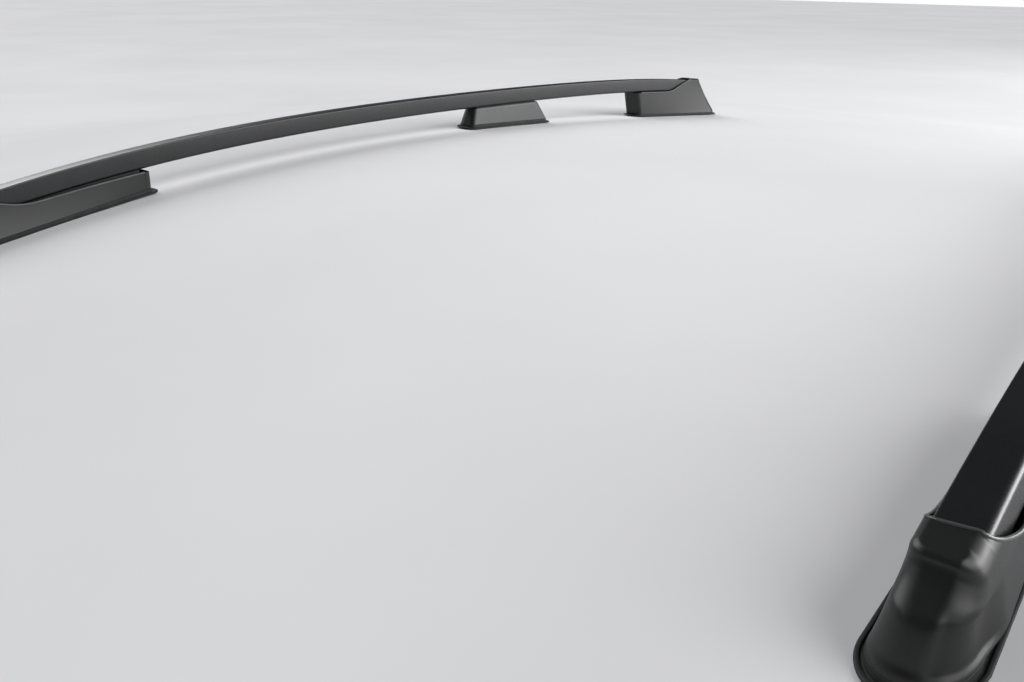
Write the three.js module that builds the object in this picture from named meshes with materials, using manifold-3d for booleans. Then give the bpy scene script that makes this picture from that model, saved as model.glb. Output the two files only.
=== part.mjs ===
// A pair of raised roof side rails for a car: two bent aluminium bars, each on three feet,
// with slide-off end covers. Millimetres; +X is the car's left, +Y its rear and +Z up.
// The origin is on the centre plane, level with the toes of the front pads.
//
// Each rail is drawn for the left side in its own frame: u runs outboard from the bar's inner
// face, y runs rearwards and z up. The right rail is the mirror image.

import * as THREE from 'three';
import { mergeVertices } from 'three/addons/utils/BufferGeometryUtils.js';
import Module from 'manifold-3d';

const wasm = await Module();
wasm.setup();

// ---------- driving dimensions ----------

// the pair on the car
const innerSpacing = 1109;     // between the bars' inner faces, halfway along
const toeIn = 1.95;            // degrees that each rail turns in towards the rear
const halfLength = 850;        // half the length that the arch is drawn over
const crownHeight = 103.5;     // the bar's underside above the front pads' toes, at the crown

// the arch of the bar's underside: its square, cube and fourth-power terms at half length
const archSquare = -24.9;
const archCube = 12.6;
const archFourth = -19.4;

// the bar's section
const barHeight = 28;          // tall flat inner face
const barWidth = 34;
const barWall = 2.5;
const ridgeDrop = 0.8;         // the outer top edge stands this much lower than the inner one
const ridgeRadius = 6.5;
const ridgeInset = 9.5;        // ridge centre in from the outer face
const innerTopRadius = 1.8;
const innerBottomRadius = 4;
const outerBottomRadius = 6;
const hollowRadius = 1.5;

// clearances
const touchGap = 0.3;          // pieces bolted or seated on each other
const collarGap = 1.6;         // bar to cover, where the cover wraps the bar
const coverWall = 2.4;
const splitGap = 0.4;          // end plate to cover

// base pads
const padSole = 2;             // rubber under a bracket's base plate
const padLip = 6.5;            // rubber lip outside the cover
const padLipThickness = 2;
const padShoulder = 1.2;       // pad's top outside the cover's edge

// brackets
const plateThickness = 5;
const plateWidth = 32;
const webThickness = 4;
const socketRoom = 2.5;        // between a stud head's flats and each web, for a socket
const seatThickness = 4;
const seatWidth = 26;
const spigotLength = 44;
const endWallThickness = 5;

// fasteners
const studRadius = 4;
const studBelowPad = 22;
const studHeadFlats = 13;
const studHeadHeight = 5;
const nutFlats = 13;
const nutHeight = 7;
const nutFlangeRadius = 8.5;
const nutFlangeHeight = 2;
const roofGrip = 3;            // roof sheet and washer between the pad and the nut
const screwRadius = 3;
const screwHeadRadius = 5.2;
const screwHeadHeight = 4;
const screwAccessGap = 1.3;    // round a bar screw's head, in the plate that it passes
const channelNutLength = 24;
const channelNutThickness = 6;

// the three feet of a rail; y is measured from the middle of the rail
const frontFoot = {
  dir: -1,                     // its nose points forwards
  noseY: -(halfLength + 70),
  length: 299,
  padHeightNose: 1.1,          // underside of the pad above the origin, below the nose
  padHeightTail: 44.8,
  padThickness: 7,
  padTailLip: 9,
  barEnd: -(halfLength + 22),
  seamStart: 143,              // from the nose back to where the seam leaves the bar's underside
  seamEnd: 56,                 // and to where it reaches the bar's top
  seamPower: 2,
  wedgeNear: 1.5,              // gap under the bar where the seam starts
  wedgeFar: 4.5,               // and at the tail
  flareInner: 12.5,
  flareOuter: 9,
  noseRake: 31,
  noseRakePower: 1.35,
  noseRadiusInner: 26,
  noseRadiusOuter: 36,
  tailLean: 0,
  tailRadius: 4,
  studs: [60, 178],            // from the tail
  screwFromBarEnd: 30,
};

const rearFoot = {
  dir: 1,
  noseY: halfLength + 76,
  length: 355,
  padHeightNose: 13.6,
  padHeightTail: 38.7,
  padThickness: 4,
  padTailLip: 6,
  barEnd: halfLength - 22,
  seamStart: 203,
  seamEnd: 129,
  seamPower: 1,
  wedgeNear: 1.4,
  wedgeFar: 1.8,
  flareInner: 10,
  flareOuter: 8,
  noseRake: 72,
  noseRakePower: 1,
  noseRadiusInner: 26,
  noseRadiusOuter: 34,
  tailLean: 23,
  tailRadius: 14,
  studs: [80, 214],
  screwFromBarEnd: 24,
};

const middleFoot = {
  frontY: 40,
  length: 221,
  padHeightFront: 66.2,
  padHeightRear: 57.6,
  padThickness: 7,
  padTailLip: 8,
  frontLean: 11,               // how far the ends slope in from base to top
  rearLean: 28,
  flare: 5,
  cornerRadius: 9,
  barGap: 1.6,
  studInset: 62,               // from each end of the base
};

const topRounding = 6;         // rounded edge along an end cover's top
const noseFlat = 2;            // least straight run between a nose's two corners
const flarePower = 1.6;        // how fast a cover's sides flare out towards its base
const barStationGap = 70;      // spacing of the bar's sections
const roundSides = 10;         // flats round a stud, screw or hole

// ---------- worked-out places ----------

const coverProud = collarGap + coverWall;   // an end cover's outside stands this far off the bar
const barMiddleU = barWidth / 2;
const webSpacing = studHeadFlats + 2 * socketRoom;   // clear width between the two webs
const screwAccessRadius = screwHeadRadius + screwAccessGap;

// height of the bar's underside on its smooth arch
function archHeight(y) {
  const t = y / halfLength;
  return crownHeight + archSquare * t ** 2 + archCube * t ** 3 + archFourth * t ** 4;
}

// the places along the bar where its sections stand
const barGrid = stations(frontFoot.barEnd, rearFoot.barEnd, barStationGap);

// height of the underside between the sections, where everything seated on the bar follows it
function barUnder(y) {
  const cell = barGrid.slice(1, -1).filter((place) => place <= y).length;
  return THREE.MathUtils.mapLinear(
    y,
    barGrid[cell],
    barGrid[cell + 1],
    archHeight(barGrid[cell]),
    archHeight(barGrid[cell + 1]),
  );
}

// the two given places along the bar and its sections between them, in order
function alongBar(from, to) {
  const between = barGrid.filter((y) => (y - from) * (y - to) < 0);
  return [from, ...(from < to ? between : between.toReversed()), to];
}

// slope of the bar's underside
function barSlope(y) {
  return (barUnder(y + 1) - barUnder(y - 1)) / 2;
}

// evenly spaced values from a to b, no further apart than gap
function stations(a, b, gap) {
  const count = Math.max(1, Math.ceil(Math.abs(b - a) / gap));
  return Array.from({ length: count + 1 }, (_, i) => a + (b - a) * i / count);
}

// ---------- outlines ----------

// Closed convex outline round a list of corner circles [a, b, radius], counter-clockwise.
function roundOutline(corners, steps) {
  const n = corners.length;
  const tangentAngle = (p, q) => {
    const along = Math.atan2(q[1] - p[1], q[0] - p[0]);
    return along - Math.acos((p[2] - q[2]) / Math.hypot(q[0] - p[0], q[1] - p[1]));
  };
  const points = [];
  corners.forEach((corner, i) => {
    const from = tangentAngle(corners[(i + n - 1) % n], corner);
    let to = tangentAngle(corner, corners[(i + 1) % n]);
    while (to < from) to += 2 * Math.PI;
    for (let k = 0; k <= steps; k += 1) {
      const angle = from + (to - from) * k / steps;
      points.push([corner[0] + corner[2] * Math.cos(angle), corner[1] + corner[2] * Math.sin(angle)]);
    }
  });
  return points;
}

// the bar's outline grown outwards; heights are above its underside
function barCorners(grow = 0) {
  return [
    [innerBottomRadius, innerBottomRadius, innerBottomRadius + grow],
    [barWidth - outerBottomRadius, outerBottomRadius, outerBottomRadius + grow],
    [barWidth - ridgeInset, barHeight - ridgeDrop - ridgeRadius, ridgeRadius + grow],
    [innerTopRadius, barHeight - innerTopRadius, innerTopRadius + grow],
  ];
}

// the hollow inside the bar, shrunk by a clearance
function hollowCorners(shrink = 0) {
  const low = barWall + hollowRadius;
  return [
    [low, low, hollowRadius - shrink],
    [barWidth - outerBottomRadius, outerBottomRadius, outerBottomRadius - barWall - shrink],
    [barWidth - ridgeInset, barHeight - ridgeDrop - ridgeRadius, ridgeRadius - barWall - shrink],
    [low, barHeight - low, hollowRadius - shrink],
  ];
}

// ---------- solids ----------

// closed geometry from rings of [u, y, z] points, capped flat at both ends
function loft(rings) {
  const n = rings[0].length;
  const index = [];
  for (let r = 0; r < rings.length - 1; r += 1) {
    for (let i = 0; i < n; i += 1) {
      const j = (i + 1) % n;
      const a = r * n + i;
      const b = r * n + j;
      index.push(a, b, b + n, a, b + n, a + n);
    }
  }
  const last = (rings.length - 1) * n;
  for (let i = 1; i < n - 1; i += 1) {
    index.push(0, i + 1, i);
    index.push(last, last + i, last + i + 1);
  }
  const geometry = new THREE.BufferGeometry();
  geometry.setAttribute('position', new THREE.Float32BufferAttribute(rings.flat(2), 3));
  geometry.setIndex(index);
  return facingOut(geometry);
}

function signedVolume(geometry) {
  const p = geometry.attributes.position;
  const index = geometry.index.array;
  const a = new THREE.Vector3();
  const b = new THREE.Vector3();
  const c = new THREE.Vector3();
  let sum = 0;
  for (let i = 0; i < index.length; i += 3) {
    a.fromBufferAttribute(p, index[i]);
    b.fromBufferAttribute(p, index[i + 1]);
    c.fromBufferAttribute(p, index[i + 2]);
    sum += a.dot(b.cross(c));
  }
  return sum / 6;
}

// turns every face over when they point inwards
function facingOut(geometry) {
  if (signedVolume(geometry) < 0) {
    const index = geometry.index.array;
    for (let i = 0; i < index.length; i += 3) {
      [index[i + 1], index[i + 2]] = [index[i + 2], index[i + 1]];
    }
  }
  return geometry;
}

// a plate drawn in side view as [y, z] points, from u0 to u1
function sidePlate(points, u0, u1) {
  const shape = new THREE.Shape(points.map(([y, z]) => new THREE.Vector2(y, z)));
  const geometry = new THREE.ExtrudeGeometry(shape, { depth: u1 - u0, bevelEnabled: false });
  const turn = new THREE.Matrix4().makeBasis(
    new THREE.Vector3(0, 1, 0),
    new THREE.Vector3(0, 0, 1),
    new THREE.Vector3(1, 0, 0),
  );
  return geometry.applyMatrix4(turn).translate(u0, 0, 0);
}

// a round or six-sided bar standing on [u, y, z], leaning with the base under it
function upright(radius, height, [u, y, z], lean = 0, sides = roundSides) {
  const geometry = new THREE.CylinderGeometry(radius, radius, height, sides);
  return geometry.rotateX(Math.PI / 2).translate(0, 0, height / 2).rotateX(lean).translate(u, y, z);
}

function toSolid(geometry) {
  let bare = geometry.clone();
  bare.deleteAttribute('normal');
  bare.deleteAttribute('uv');
  bare = mergeVertices(bare, 1e-4);
  return new wasm.Manifold(new wasm.Mesh({
    numProp: 3,
    vertProperties: new Float32Array(bare.attributes.position.array),
    triVerts: new Uint32Array(bare.index.array),
  }));
}

function toGeometry(solid) {
  const mesh = solid.getMesh();
  const geometry = new THREE.BufferGeometry();
  geometry.setAttribute('position', new THREE.BufferAttribute(mesh.vertProperties, 3));
  geometry.setIndex(new THREE.BufferAttribute(mesh.triVerts, 1));
  return geometry;
}

function join(...geometries) {
  return toGeometry(geometries.map(toSolid).reduce((sum, next) => sum.add(next)));
}

function cut(body, ...tools) {
  return toGeometry(tools.map(toSolid).reduce((left, tool) => left.subtract(tool), toSolid(body)));
}

function common(a, b) {
  return toGeometry(toSolid(a).intersect(toSolid(b)));
}

// ---------- materials ----------

const finish = (color, roughness, metalness) => ({ color, roughness, metalness });
const finishes = {
  bar: finish(0x2b2d30, 0.38, 0.55),
  cover: finish(0x2a2c2b, 0.45, 0.0),
  rubber: finish(0x1e2020, 0.8, 0.0),
  casting: finish(0x9a9c9f, 0.5, 0.9),
  zinc: finish(0xb4b2a8, 0.4, 0.9),
};

function piece(name, geometry, look, parent) {
  const mesh = new THREE.Mesh(geometry, new THREE.MeshStandardMaterial(look));
  mesh.name = name;
  parent.add(mesh);
}

// ---------- the bar ----------

function barSections(corners, steps, from, to) {
  const outline = roundOutline(corners, steps);
  return loft(alongBar(from, to).map(
    (y) => outline.map(([u, h]) => [u, y, barUnder(y) + h]),
  ));
}

function railBar(screwPlaces) {
  const skin = barSections(barCorners(), 3, frontFoot.barEnd, rearFoot.barEnd);
  const hollow = barSections(hollowCorners(), 2, frontFoot.barEnd - 5, rearFoot.barEnd + 5);
  const holes = screwPlaces.map((y) => upright(
    screwRadius + touchGap,
    barWall + 2,
    [barMiddleU, y, barUnder(y) - 1],
  ));
  return cut(skin, hollow, ...holes);
}

// ---------- end feet ----------

// places of an end foot that follow from its dimensions
function footPlaces(foot) {
  const tailY = foot.noseY - foot.dir * foot.length;
  const padSlope = (foot.padHeightNose - foot.padHeightTail) / foot.length * foot.dir;
  const under = (y) => foot.padHeightTail + (y - tailY) * padSlope;
  const seamEndY = foot.noseY - foot.dir * foot.seamEnd;
  const seamStartY = foot.noseY - foot.dir * foot.seamStart;
  const topSlope = barSlope(seamEndY + foot.dir * 10);
  const topAt = (u, y) => barUnder(seamEndY) + (y - seamEndY) * topSlope
    + barHeight - ridgeDrop * Math.min(1, u / (barWidth - ridgeInset)) + coverProud;
  return {
    tailY,
    seamEndY,
    seamStartY,
    padSlope,
    lean: Math.atan(padSlope),
    padUnder: under,
    coverBase: (y) => under(y) + foot.padThickness + touchGap,
    topAt,
    fromTail: (v) => tailY + foot.dir * v,
  };
}

// Plan outline of an end foot at a share s of its height, moved in by inset.
// Points are [u, v], with v measured from the tail towards the nose.
function footPlan(foot, s, inset, open, steps) {
  const spread = (1 - s) ** flarePower;
  const low = -coverProud;
  const high = barWidth + coverProud;
  const noseV = foot.length - foot.noseRake * s ** foot.noseRakePower - inset;
  const tailV = open ? -30 : foot.tailLean * (1 - s) + inset;
  const tailR = open ? 0.5 : Math.max(0.5, foot.tailRadius - inset);
  const noseLow = low - foot.flareInner * spread + inset;
  const noseHigh = high + foot.flareOuter * spread - inset;
  const wishInner = THREE.MathUtils.lerp(foot.noseRadiusInner, 10, s) - Math.min(inset, 8);
  const wishOuter = THREE.MathUtils.lerp(foot.noseRadiusOuter, 14, s) - Math.min(inset, 8);
  const room = Math.min(1, (noseHigh - noseLow - noseFlat) / (wishInner + wishOuter));
  const innerR = wishInner * room;
  const outerR = wishOuter * room;
  return roundOutline([
    [low + inset + tailR, tailV + tailR, tailR],
    [high - inset - tailR, tailV + tailR, tailR],
    [noseHigh - outerR, noseV - outerR, outerR],
    [noseLow + innerR, noseV - innerR, innerR],
  ], steps);
}

// the outside of an end foot, or the room inside it when wall is given
function footBody(foot, wall = 0, open = false) {
  const at = footPlaces(foot);
  const steps = wall ? 2 : 4;
  const rounding = Math.max(topRounding - wall, 1);
  const ring = (s, inset, drop) => footPlan(foot, s, wall + inset, open, steps).map(([u, v]) => {
    const y = at.fromTail(v);
    const base = at.coverBase(y);
    const top = at.topAt(u, y) - wall - rounding;
    return [u, y, base + s * (top - base) + drop];
  });
  const levels = [0, 0.1, 0.25, 0.42, 0.6, 0.8, 1];
  const rings = levels.map((s) => ring(s, 0, 0));
  if (wall) rings.unshift(ring(0, 0, -foot.padThickness * 2));
  [45, 90].forEach((degrees) => {
    const angle = THREE.MathUtils.degToRad(degrees);
    rings.push(ring(1, rounding * (1 - Math.cos(angle)), rounding * Math.sin(angle)));
  });
  return loft(rings);
}

// side view of what lies above the seam between an end cover and the bar
function aboveSeam(foot) {
  const at = footPlaces(foot);
  const height = barHeight + coverProud;
  const far = at.fromTail(-40);
  const wedge = (y) => THREE.MathUtils.mapLinear(y, at.tailY, at.seamStartY, foot.wedgeFar, foot.wedgeNear);
  const line = alongBar(far, at.seamStartY).map((y) => [y, barUnder(y) - wedge(y)]);
  const rise = (y) => {
    const share = (y - at.seamStartY) / (at.seamEndY - at.seamStartY);
    return (height + foot.wedgeNear) * share ** foot.seamPower - foot.wedgeNear;
  };
  const curve = stations(at.seamStartY, at.seamEndY, 14).slice(1).map((y) => [y, barUnder(y) + rise(y)]);
  return [...line, ...curve, [at.seamEndY, crownHeight * 2], [far, crownHeight * 2]];
}

// side view of the end plate's side of the split between cover and end plate
function tailSide(foot, clearance) {
  const at = footPlaces(foot);
  const split = foot.tailRadius + 4 + clearance;
  return [
    [at.fromTail(-60), -50],
    [at.fromTail(foot.tailLean + split), -50],
    [at.fromTail(foot.tailLean + split), at.coverBase(at.tailY)],
    [at.fromTail(split), at.topAt(0, at.tailY)],
    [at.fromTail(split), crownHeight * 2],
    [at.fromTail(-60), crownHeight * 2],
  ];
}

function endCover(foot) {
  return cut(
    footBody(foot),
    footBody(foot, coverWall, true),
    sidePlate(aboveSeam(foot), -60, barWidth + 60),
    sidePlate(tailSide(foot, splitGap / 2), -60, barWidth + 60),
  );
}

function endPlate(foot) {
  const shell = cut(
    footBody(foot),
    footBody(foot, coverWall, false),
    sidePlate(aboveSeam(foot), -60, barWidth + 60),
  );
  return common(shell, sidePlate(tailSide(foot, -splitGap / 2), -60, barWidth + 60));
}

// plan outline as [u, y] of a pad, set outside the cover's base by spread
function padPlan(foot, spread, tailSpread) {
  const at = footPlaces(foot);
  return footPlan(foot, 0, -spread, false, 4).map(([u, v]) => {
    const extra = (tailSpread - spread) * Math.max(0, 1 - v / foot.noseRadiusInner);
    return [u, at.fromTail(v - extra)];
  });
}

function pad(foot, outline, under, holes, plate) {
  const raise = (points, height) => points.map(([u, y]) => [u, y, under(y) + height]);
  const block = loft([
    raise(outline(padLip, foot.padTailLip), 0),
    raise(outline(padLip, foot.padTailLip), padLipThickness),
    raise(outline(padShoulder, padShoulder), foot.padThickness),
  ]);
  const recess = loft([
    raise(plate(touchGap), padSole),
    raise(plate(touchGap), foot.padThickness + 5),
  ]);
  return cut(block, recess, ...holes);
}

// plan outline of a bracket's base plate between two places along the rail
function platePlan(y0, y1, spread) {
  const r = 5 + spread;
  const low = barMiddleU - plateWidth / 2 - spread;
  const high = barMiddleU + plateWidth / 2 + spread;
  return roundOutline([
    [low + r, Math.min(y0, y1) - spread + r, r],
    [high - r, Math.min(y0, y1) - spread + r, r],
    [high - r, Math.max(y0, y1) + spread - r, r],
    [low + r, Math.max(y0, y1) + spread - r, r],
  ], 3);
}

// Cast bracket: base plate, two upright webs and a seat that follows the bar's underside.
function castBracket(under, plate, webEnds, seatEnds) {
  const plateLow = padSole + touchGap;
  const base = loft([
    plate(0).map(([u, y]) => [u, y, under(y) + plateLow]),
    plate(0).map(([u, y]) => [u, y, under(y) + plateLow + plateThickness]),
  ]);
  const seatTop = (y) => barUnder(y) - touchGap;
  const webTop = alongBar(webEnds[1], webEnds[0]).map((y) => [y, seatTop(y) - seatThickness / 2]);
  const webSide = [
    [webEnds[0], under(webEnds[0]) + plateLow + 1],
    [webEnds[1], under(webEnds[1]) + plateLow + 1],
    ...webTop,
  ];
  const along = alongBar(seatEnds[0], seatEnds[1]);
  const seatSide = [
    ...along.map((y) => [y, seatTop(y) - seatThickness]),
    ...along.toReversed().map((y) => [y, seatTop(y)]),
  ];
  const half = webSpacing / 2;
  return join(
    base,
    sidePlate(webSide, barMiddleU - half - webThickness, barMiddleU - half),
    sidePlate(webSide, barMiddleU + half, barMiddleU + half + webThickness),
    sidePlate(seatSide, barMiddleU - seatWidth / 2, barMiddleU + seatWidth / 2),
  );
}

// the stud's axis and height at a place along the rail
function studHoles(under, places, lean, from, to, radius) {
  return places.map((y) => upright(radius, to - from, onAxis(under, y, lean, from), lean));
}

// point at a height along a stud's leaning axis, measured from the pad's underside
function onAxis(under, y, lean, height) {
  return [barMiddleU, y - height * Math.sin(lean), under(y) + height * Math.cos(lean)];
}

function endBracket(foot, at, plate, studPlaces, screwY) {
  const inner = foot.barEnd + foot.dir * touchGap;
  const outer = inner + foot.dir * endWallThickness;
  const tail = at.fromTail(foot.tailLean + foot.tailRadius + 8);
  const blank = castBracket(at.padUnder, plate, [tail, outer], [tail, outer]);
  const wallTop = barUnder(foot.barEnd) + barHeight - barWall - hollowRadius;
  const endWall = sidePlate([
    [inner, at.padUnder(inner) + padSole + 1],
    [outer, at.padUnder(outer) + padSole + 1],
    [outer, wallTop],
    [inner, wallTop],
  ], barMiddleU - seatWidth / 2, barMiddleU + seatWidth / 2);
  const spigotEnd = foot.barEnd - foot.dir * spigotLength;
  const spigot = barSections(hollowCorners(touchGap), 2, inner + foot.dir * 2, spigotEnd);
  const plateTop = padSole + touchGap + plateThickness;
  return cut(
    join(blank, endWall, spigot),
    ...studHoles(at.padUnder, studPlaces, at.lean, -2, plateTop + 2, studRadius + touchGap),
    upright(screwAccessRadius, plateThickness * 3, [barMiddleU, screwY, at.padUnder(screwY) - 2]),
    upright(
      screwRadius + touchGap,
      screwLength(screwY) + touchGap,
      [barMiddleU, screwY, screwSeat(screwY)],
    ),
  );
}

// the underside of the seat, where a bar screw's head bears
function screwSeat(y) {
  return barUnder(y) - touchGap - seatThickness - 1;
}

// a bar screw's length under its head
function screwLength(y) {
  return barUnder(y) + barWall + channelNutThickness + 2 - screwSeat(y);
}

function barScrew(y) {
  const seat = screwSeat(y) + 1 - barSlopeDrop(y);
  const profile = [
    [0, -screwHeadHeight],
    [screwHeadRadius - 0.8, -screwHeadHeight],
    [screwHeadRadius, -screwHeadHeight + 0.8],
    [screwHeadRadius, -touchGap],
    [screwRadius, -touchGap],
    [screwRadius, screwLength(y) - 1.5],
    [screwRadius - 1, screwLength(y) - 0.7],
    [0, screwLength(y) - 0.7],
  ];
  return turned(profile, [barMiddleU, y, seat]);
}

// how far the sloping seat dips below its middle across a screw head
function barSlopeDrop(y) {
  return Math.abs(barSlope(y)) * screwHeadRadius;
}

// a piece turned round an upright axis from [radius, height] points on its outside
function turned(profile, [u, y, z]) {
  const points = profile.map(([r, h]) => new THREE.Vector2(r, h));
  const geometry = new THREE.LatheGeometry(points, roundSides);
  return geometry.rotateX(Math.PI / 2).translate(u, y, z);
}

function roofStud(under, y, lean) {
  const seat = padSole + plateThickness + 2 * touchGap;
  const head = upright(
    studHeadFlats / Math.sqrt(3),
    studHeadHeight,
    onAxis(under, y, lean, seat),
    lean,
    6,
  );
  const shank = upright(studRadius, seat + studBelowPad + 1, onAxis(under, y, lean, -studBelowPad), lean);
  return join(head, shank);
}

function roofNut(under, y, lean) {
  const top = -roofGrip;
  const flangeFoot = onAxis(under, y, lean, top - nutFlangeHeight);
  const flange = upright(nutFlangeRadius, nutFlangeHeight, flangeFoot, lean);
  const hex = upright(nutFlats / Math.sqrt(3), nutHeight, onAxis(under, y, lean, top - nutHeight), lean, 6);
  const bore = upright(
    studRadius + touchGap,
    nutHeight + 4,
    onAxis(under, y, lean, top - nutHeight - 2),
    lean,
  );
  return cut(join(flange, hex), bore);
}

function fixings(prefix, under, places, lean, parent) {
  places.forEach((y, i) => {
    piece(`${prefix}_roof_stud_${i + 1}`, roofStud(under, y, lean), finishes.zinc, parent);
    piece(`${prefix}_roof_nut_${i + 1}`, roofNut(under, y, lean), finishes.zinc, parent);
  });
}

function endFoot(foot, prefix, parent) {
  const at = footPlaces(foot);
  const screwY = foot.barEnd - foot.dir * foot.screwFromBarEnd;
  const studPlaces = foot.studs.map(at.fromTail);
  const plateTail = at.fromTail(foot.tailLean + foot.tailRadius + 6);
  const plateNose = foot.noseY - foot.dir * (foot.noseRadiusInner + coverWall);
  const plate = (spread) => platePlan(plateTail, plateNose, spread);
  const padHoles = studHoles(at.padUnder, studPlaces, at.lean, -5, foot.padThickness + 5, studRadius + 1);
  const bracket = endBracket(foot, at, plate, studPlaces, screwY);
  piece(`${prefix}_pad`, pad(foot, (a, b) => padPlan(foot, a, b), at.padUnder, padHoles, plate),
    finishes.rubber, parent);
  piece(`${prefix}_bracket`, bracket, finishes.casting, parent);
  piece(`${prefix}_end_plate`, endPlate(foot), finishes.cover, parent);
  piece(`${prefix}_cover`, endCover(foot), finishes.cover, parent);
  piece(`${prefix}_bar_screw`, barScrew(screwY), finishes.zinc, parent);
  fixings(prefix, at.padUnder, studPlaces, at.lean, parent);
  return screwY;
}

// ---------- the middle foot ----------

function middlePlaces(foot) {
  const rearY = foot.frontY + foot.length;
  const slope = (foot.padHeightRear - foot.padHeightFront) / foot.length;
  return {
    rearY,
    lean: Math.atan(slope),
    padUnder: (y) => foot.padHeightFront + (y - foot.frontY) * slope,
  };
}

// plan outline of the middle foot at a share s of its height, moved in by inset
function middlePlan(foot, s, inset) {
  const r = Math.max(foot.cornerRadius - inset, 1);
  const spread = foot.flare * (1 - s) - inset;
  const y0 = foot.frontY + foot.frontLean * s + inset;
  const y1 = foot.frontY + foot.length - foot.rearLean * s - inset;
  return roundOutline([
    [-spread + r, y0 + r, r],
    [barWidth + spread - r, y0 + r, r],
    [barWidth + spread - r, y1 - r, r],
    [-spread + r, y1 - r, r],
  ], 3);
}

function middleCover(foot, at) {
  const ring = (s, inset) => middlePlan(foot, s, inset).map(([u, y]) => {
    const base = at.padUnder(y) + foot.padThickness + touchGap;
    return [u, y, base + s * (crownHeight + 2 - base)];
  });
  const along = alongBar(foot.frontY - 20, at.rearY + 20);
  const aboveBar = [
    ...along.map((y) => [y, barUnder(y) - foot.barGap]),
    [at.rearY + 20, crownHeight * 2],
    [foot.frontY - 20, crownHeight * 2],
  ];
  return cut(
    loft([ring(0, 0), ring(1, 0)]),
    loft([ring(-0.5, coverWall), ring(1.5, coverWall)]),
    sidePlate(aboveBar, -60, barWidth + 60),
  );
}

function middleBracket(foot, at, plate, studPlaces, screwY) {
  const margin = foot.rearLean + coverWall + 4;
  const ends = [foot.frontY + foot.frontLean + coverWall + 6, at.rearY - margin];
  const plateTop = padSole + touchGap + plateThickness;
  return cut(
    castBracket(at.padUnder, plate, ends, ends),
    ...studHoles(at.padUnder, studPlaces, at.lean, -2, plateTop + 2, studRadius + touchGap),
    upright(screwAccessRadius, plateThickness * 3, [barMiddleU, screwY, at.padUnder(screwY) - 2]),
    upright(screwRadius + touchGap, screwLength(screwY), [barMiddleU, screwY, screwSeat(screwY)]),
  );
}

function channelNut(y) {
  const half = channelNutLength / 2;
  const low = (p) => barUnder(p) + barWall + touchGap;
  const side = [
    [y - half, low(y - half)],
    [y + half, low(y + half)],
    [y + half, low(y + half) + channelNutThickness],
    [y - half, low(y - half) + channelNutThickness],
  ];
  const bore = upright(screwRadius + touchGap, channelNutThickness + 4, [barMiddleU, y, barUnder(y)]);
  return cut(sidePlate(side, barMiddleU - 9, barMiddleU + 9), bore);
}

function centreFoot(foot, prefix, parent) {
  const at = middlePlaces(foot);
  const screwY = foot.frontY + foot.length / 2;
  const studPlaces = [foot.frontY + foot.studInset, at.rearY - foot.studInset];
  const plate = (spread) => platePlan(foot.frontY + coverWall + 6, at.rearY - coverWall - 6, spread);
  const padHoles = studHoles(at.padUnder, studPlaces, at.lean, -5, foot.padThickness + 5, studRadius + 1);
  const padOutline = (spread, tailSpread) => middlePlan(foot, 0, -spread).map(([u, y]) => {
    const share = (y - foot.frontY) / foot.length - 0.5;
    return [u, y + (tailSpread - spread) * Math.sign(share)];
  });
  piece(`${prefix}_pad`, pad(foot, padOutline, at.padUnder, padHoles, plate), finishes.rubber, parent);
  piece(`${prefix}_bracket`, middleBracket(foot, at, plate, studPlaces, screwY), finishes.casting, parent);
  piece(`${prefix}_cover`, middleCover(foot, at), finishes.cover, parent);
  piece(`${prefix}_bar_screw`, barScrew(screwY), finishes.zinc, parent);
  piece(`${prefix}_channel_nut`, channelNut(screwY), finishes.zinc, parent);
  fixings(prefix, at.padUnder, studPlaces, at.lean, parent);
  return screwY;
}

// ---------- the pair ----------

function rail(side) {
  const group = new THREE.Group();
  const screwPlaces = [
    endFoot(frontFoot, `${side}_front`, group),
    centreFoot(middleFoot, `${side}_middle`, group),
    endFoot(rearFoot, `${side}_rear`, group),
  ];
  piece(`${side}_bar`, railBar(screwPlaces), finishes.bar, group);
  return group;
}

// the mirror image of a left-hand piece
function mirrored(geometry) {
  const copy = geometry.clone();
  const p = copy.attributes.position;
  for (let i = 0; i < p.count; i += 1) p.setX(i, -p.getX(i));
  return facingOut(copy);
}

const rack = new THREE.Group();

const left = rail('left');
left.position.x = innerSpacing / 2;
left.rotation.z = THREE.MathUtils.degToRad(toeIn);
rack.add(left);

const right = rail('right');
right.children.forEach((mesh) => {
  mesh.geometry = mirrored(mesh.geometry);
});
right.position.x = -innerSpacing / 2;
right.rotation.z = -THREE.MathUtils.degToRad(toeIn);
rack.add(right);

export default rack;
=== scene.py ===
import math

import bmesh
import bpy
from mathutils import Matrix, Vector


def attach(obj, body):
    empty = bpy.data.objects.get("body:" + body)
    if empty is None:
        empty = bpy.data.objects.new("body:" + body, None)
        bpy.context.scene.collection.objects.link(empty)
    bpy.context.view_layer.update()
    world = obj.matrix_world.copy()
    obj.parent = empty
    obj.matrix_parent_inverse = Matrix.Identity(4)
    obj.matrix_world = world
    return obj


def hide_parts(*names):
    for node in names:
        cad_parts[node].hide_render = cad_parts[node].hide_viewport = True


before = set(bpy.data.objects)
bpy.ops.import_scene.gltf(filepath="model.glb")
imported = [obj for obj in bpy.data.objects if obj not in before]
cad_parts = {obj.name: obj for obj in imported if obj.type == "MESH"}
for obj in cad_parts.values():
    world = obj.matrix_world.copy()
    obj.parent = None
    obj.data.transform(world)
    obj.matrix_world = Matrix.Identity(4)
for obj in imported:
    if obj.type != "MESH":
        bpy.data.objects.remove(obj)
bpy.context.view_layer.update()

# A pair of raised roof rails. Everything is worked out in millimetres in a rail's own frame:
# u runs outboard from the bar's inner face, y rearwards and z up. placed() turns that to metres.
mm = 0.001

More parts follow.
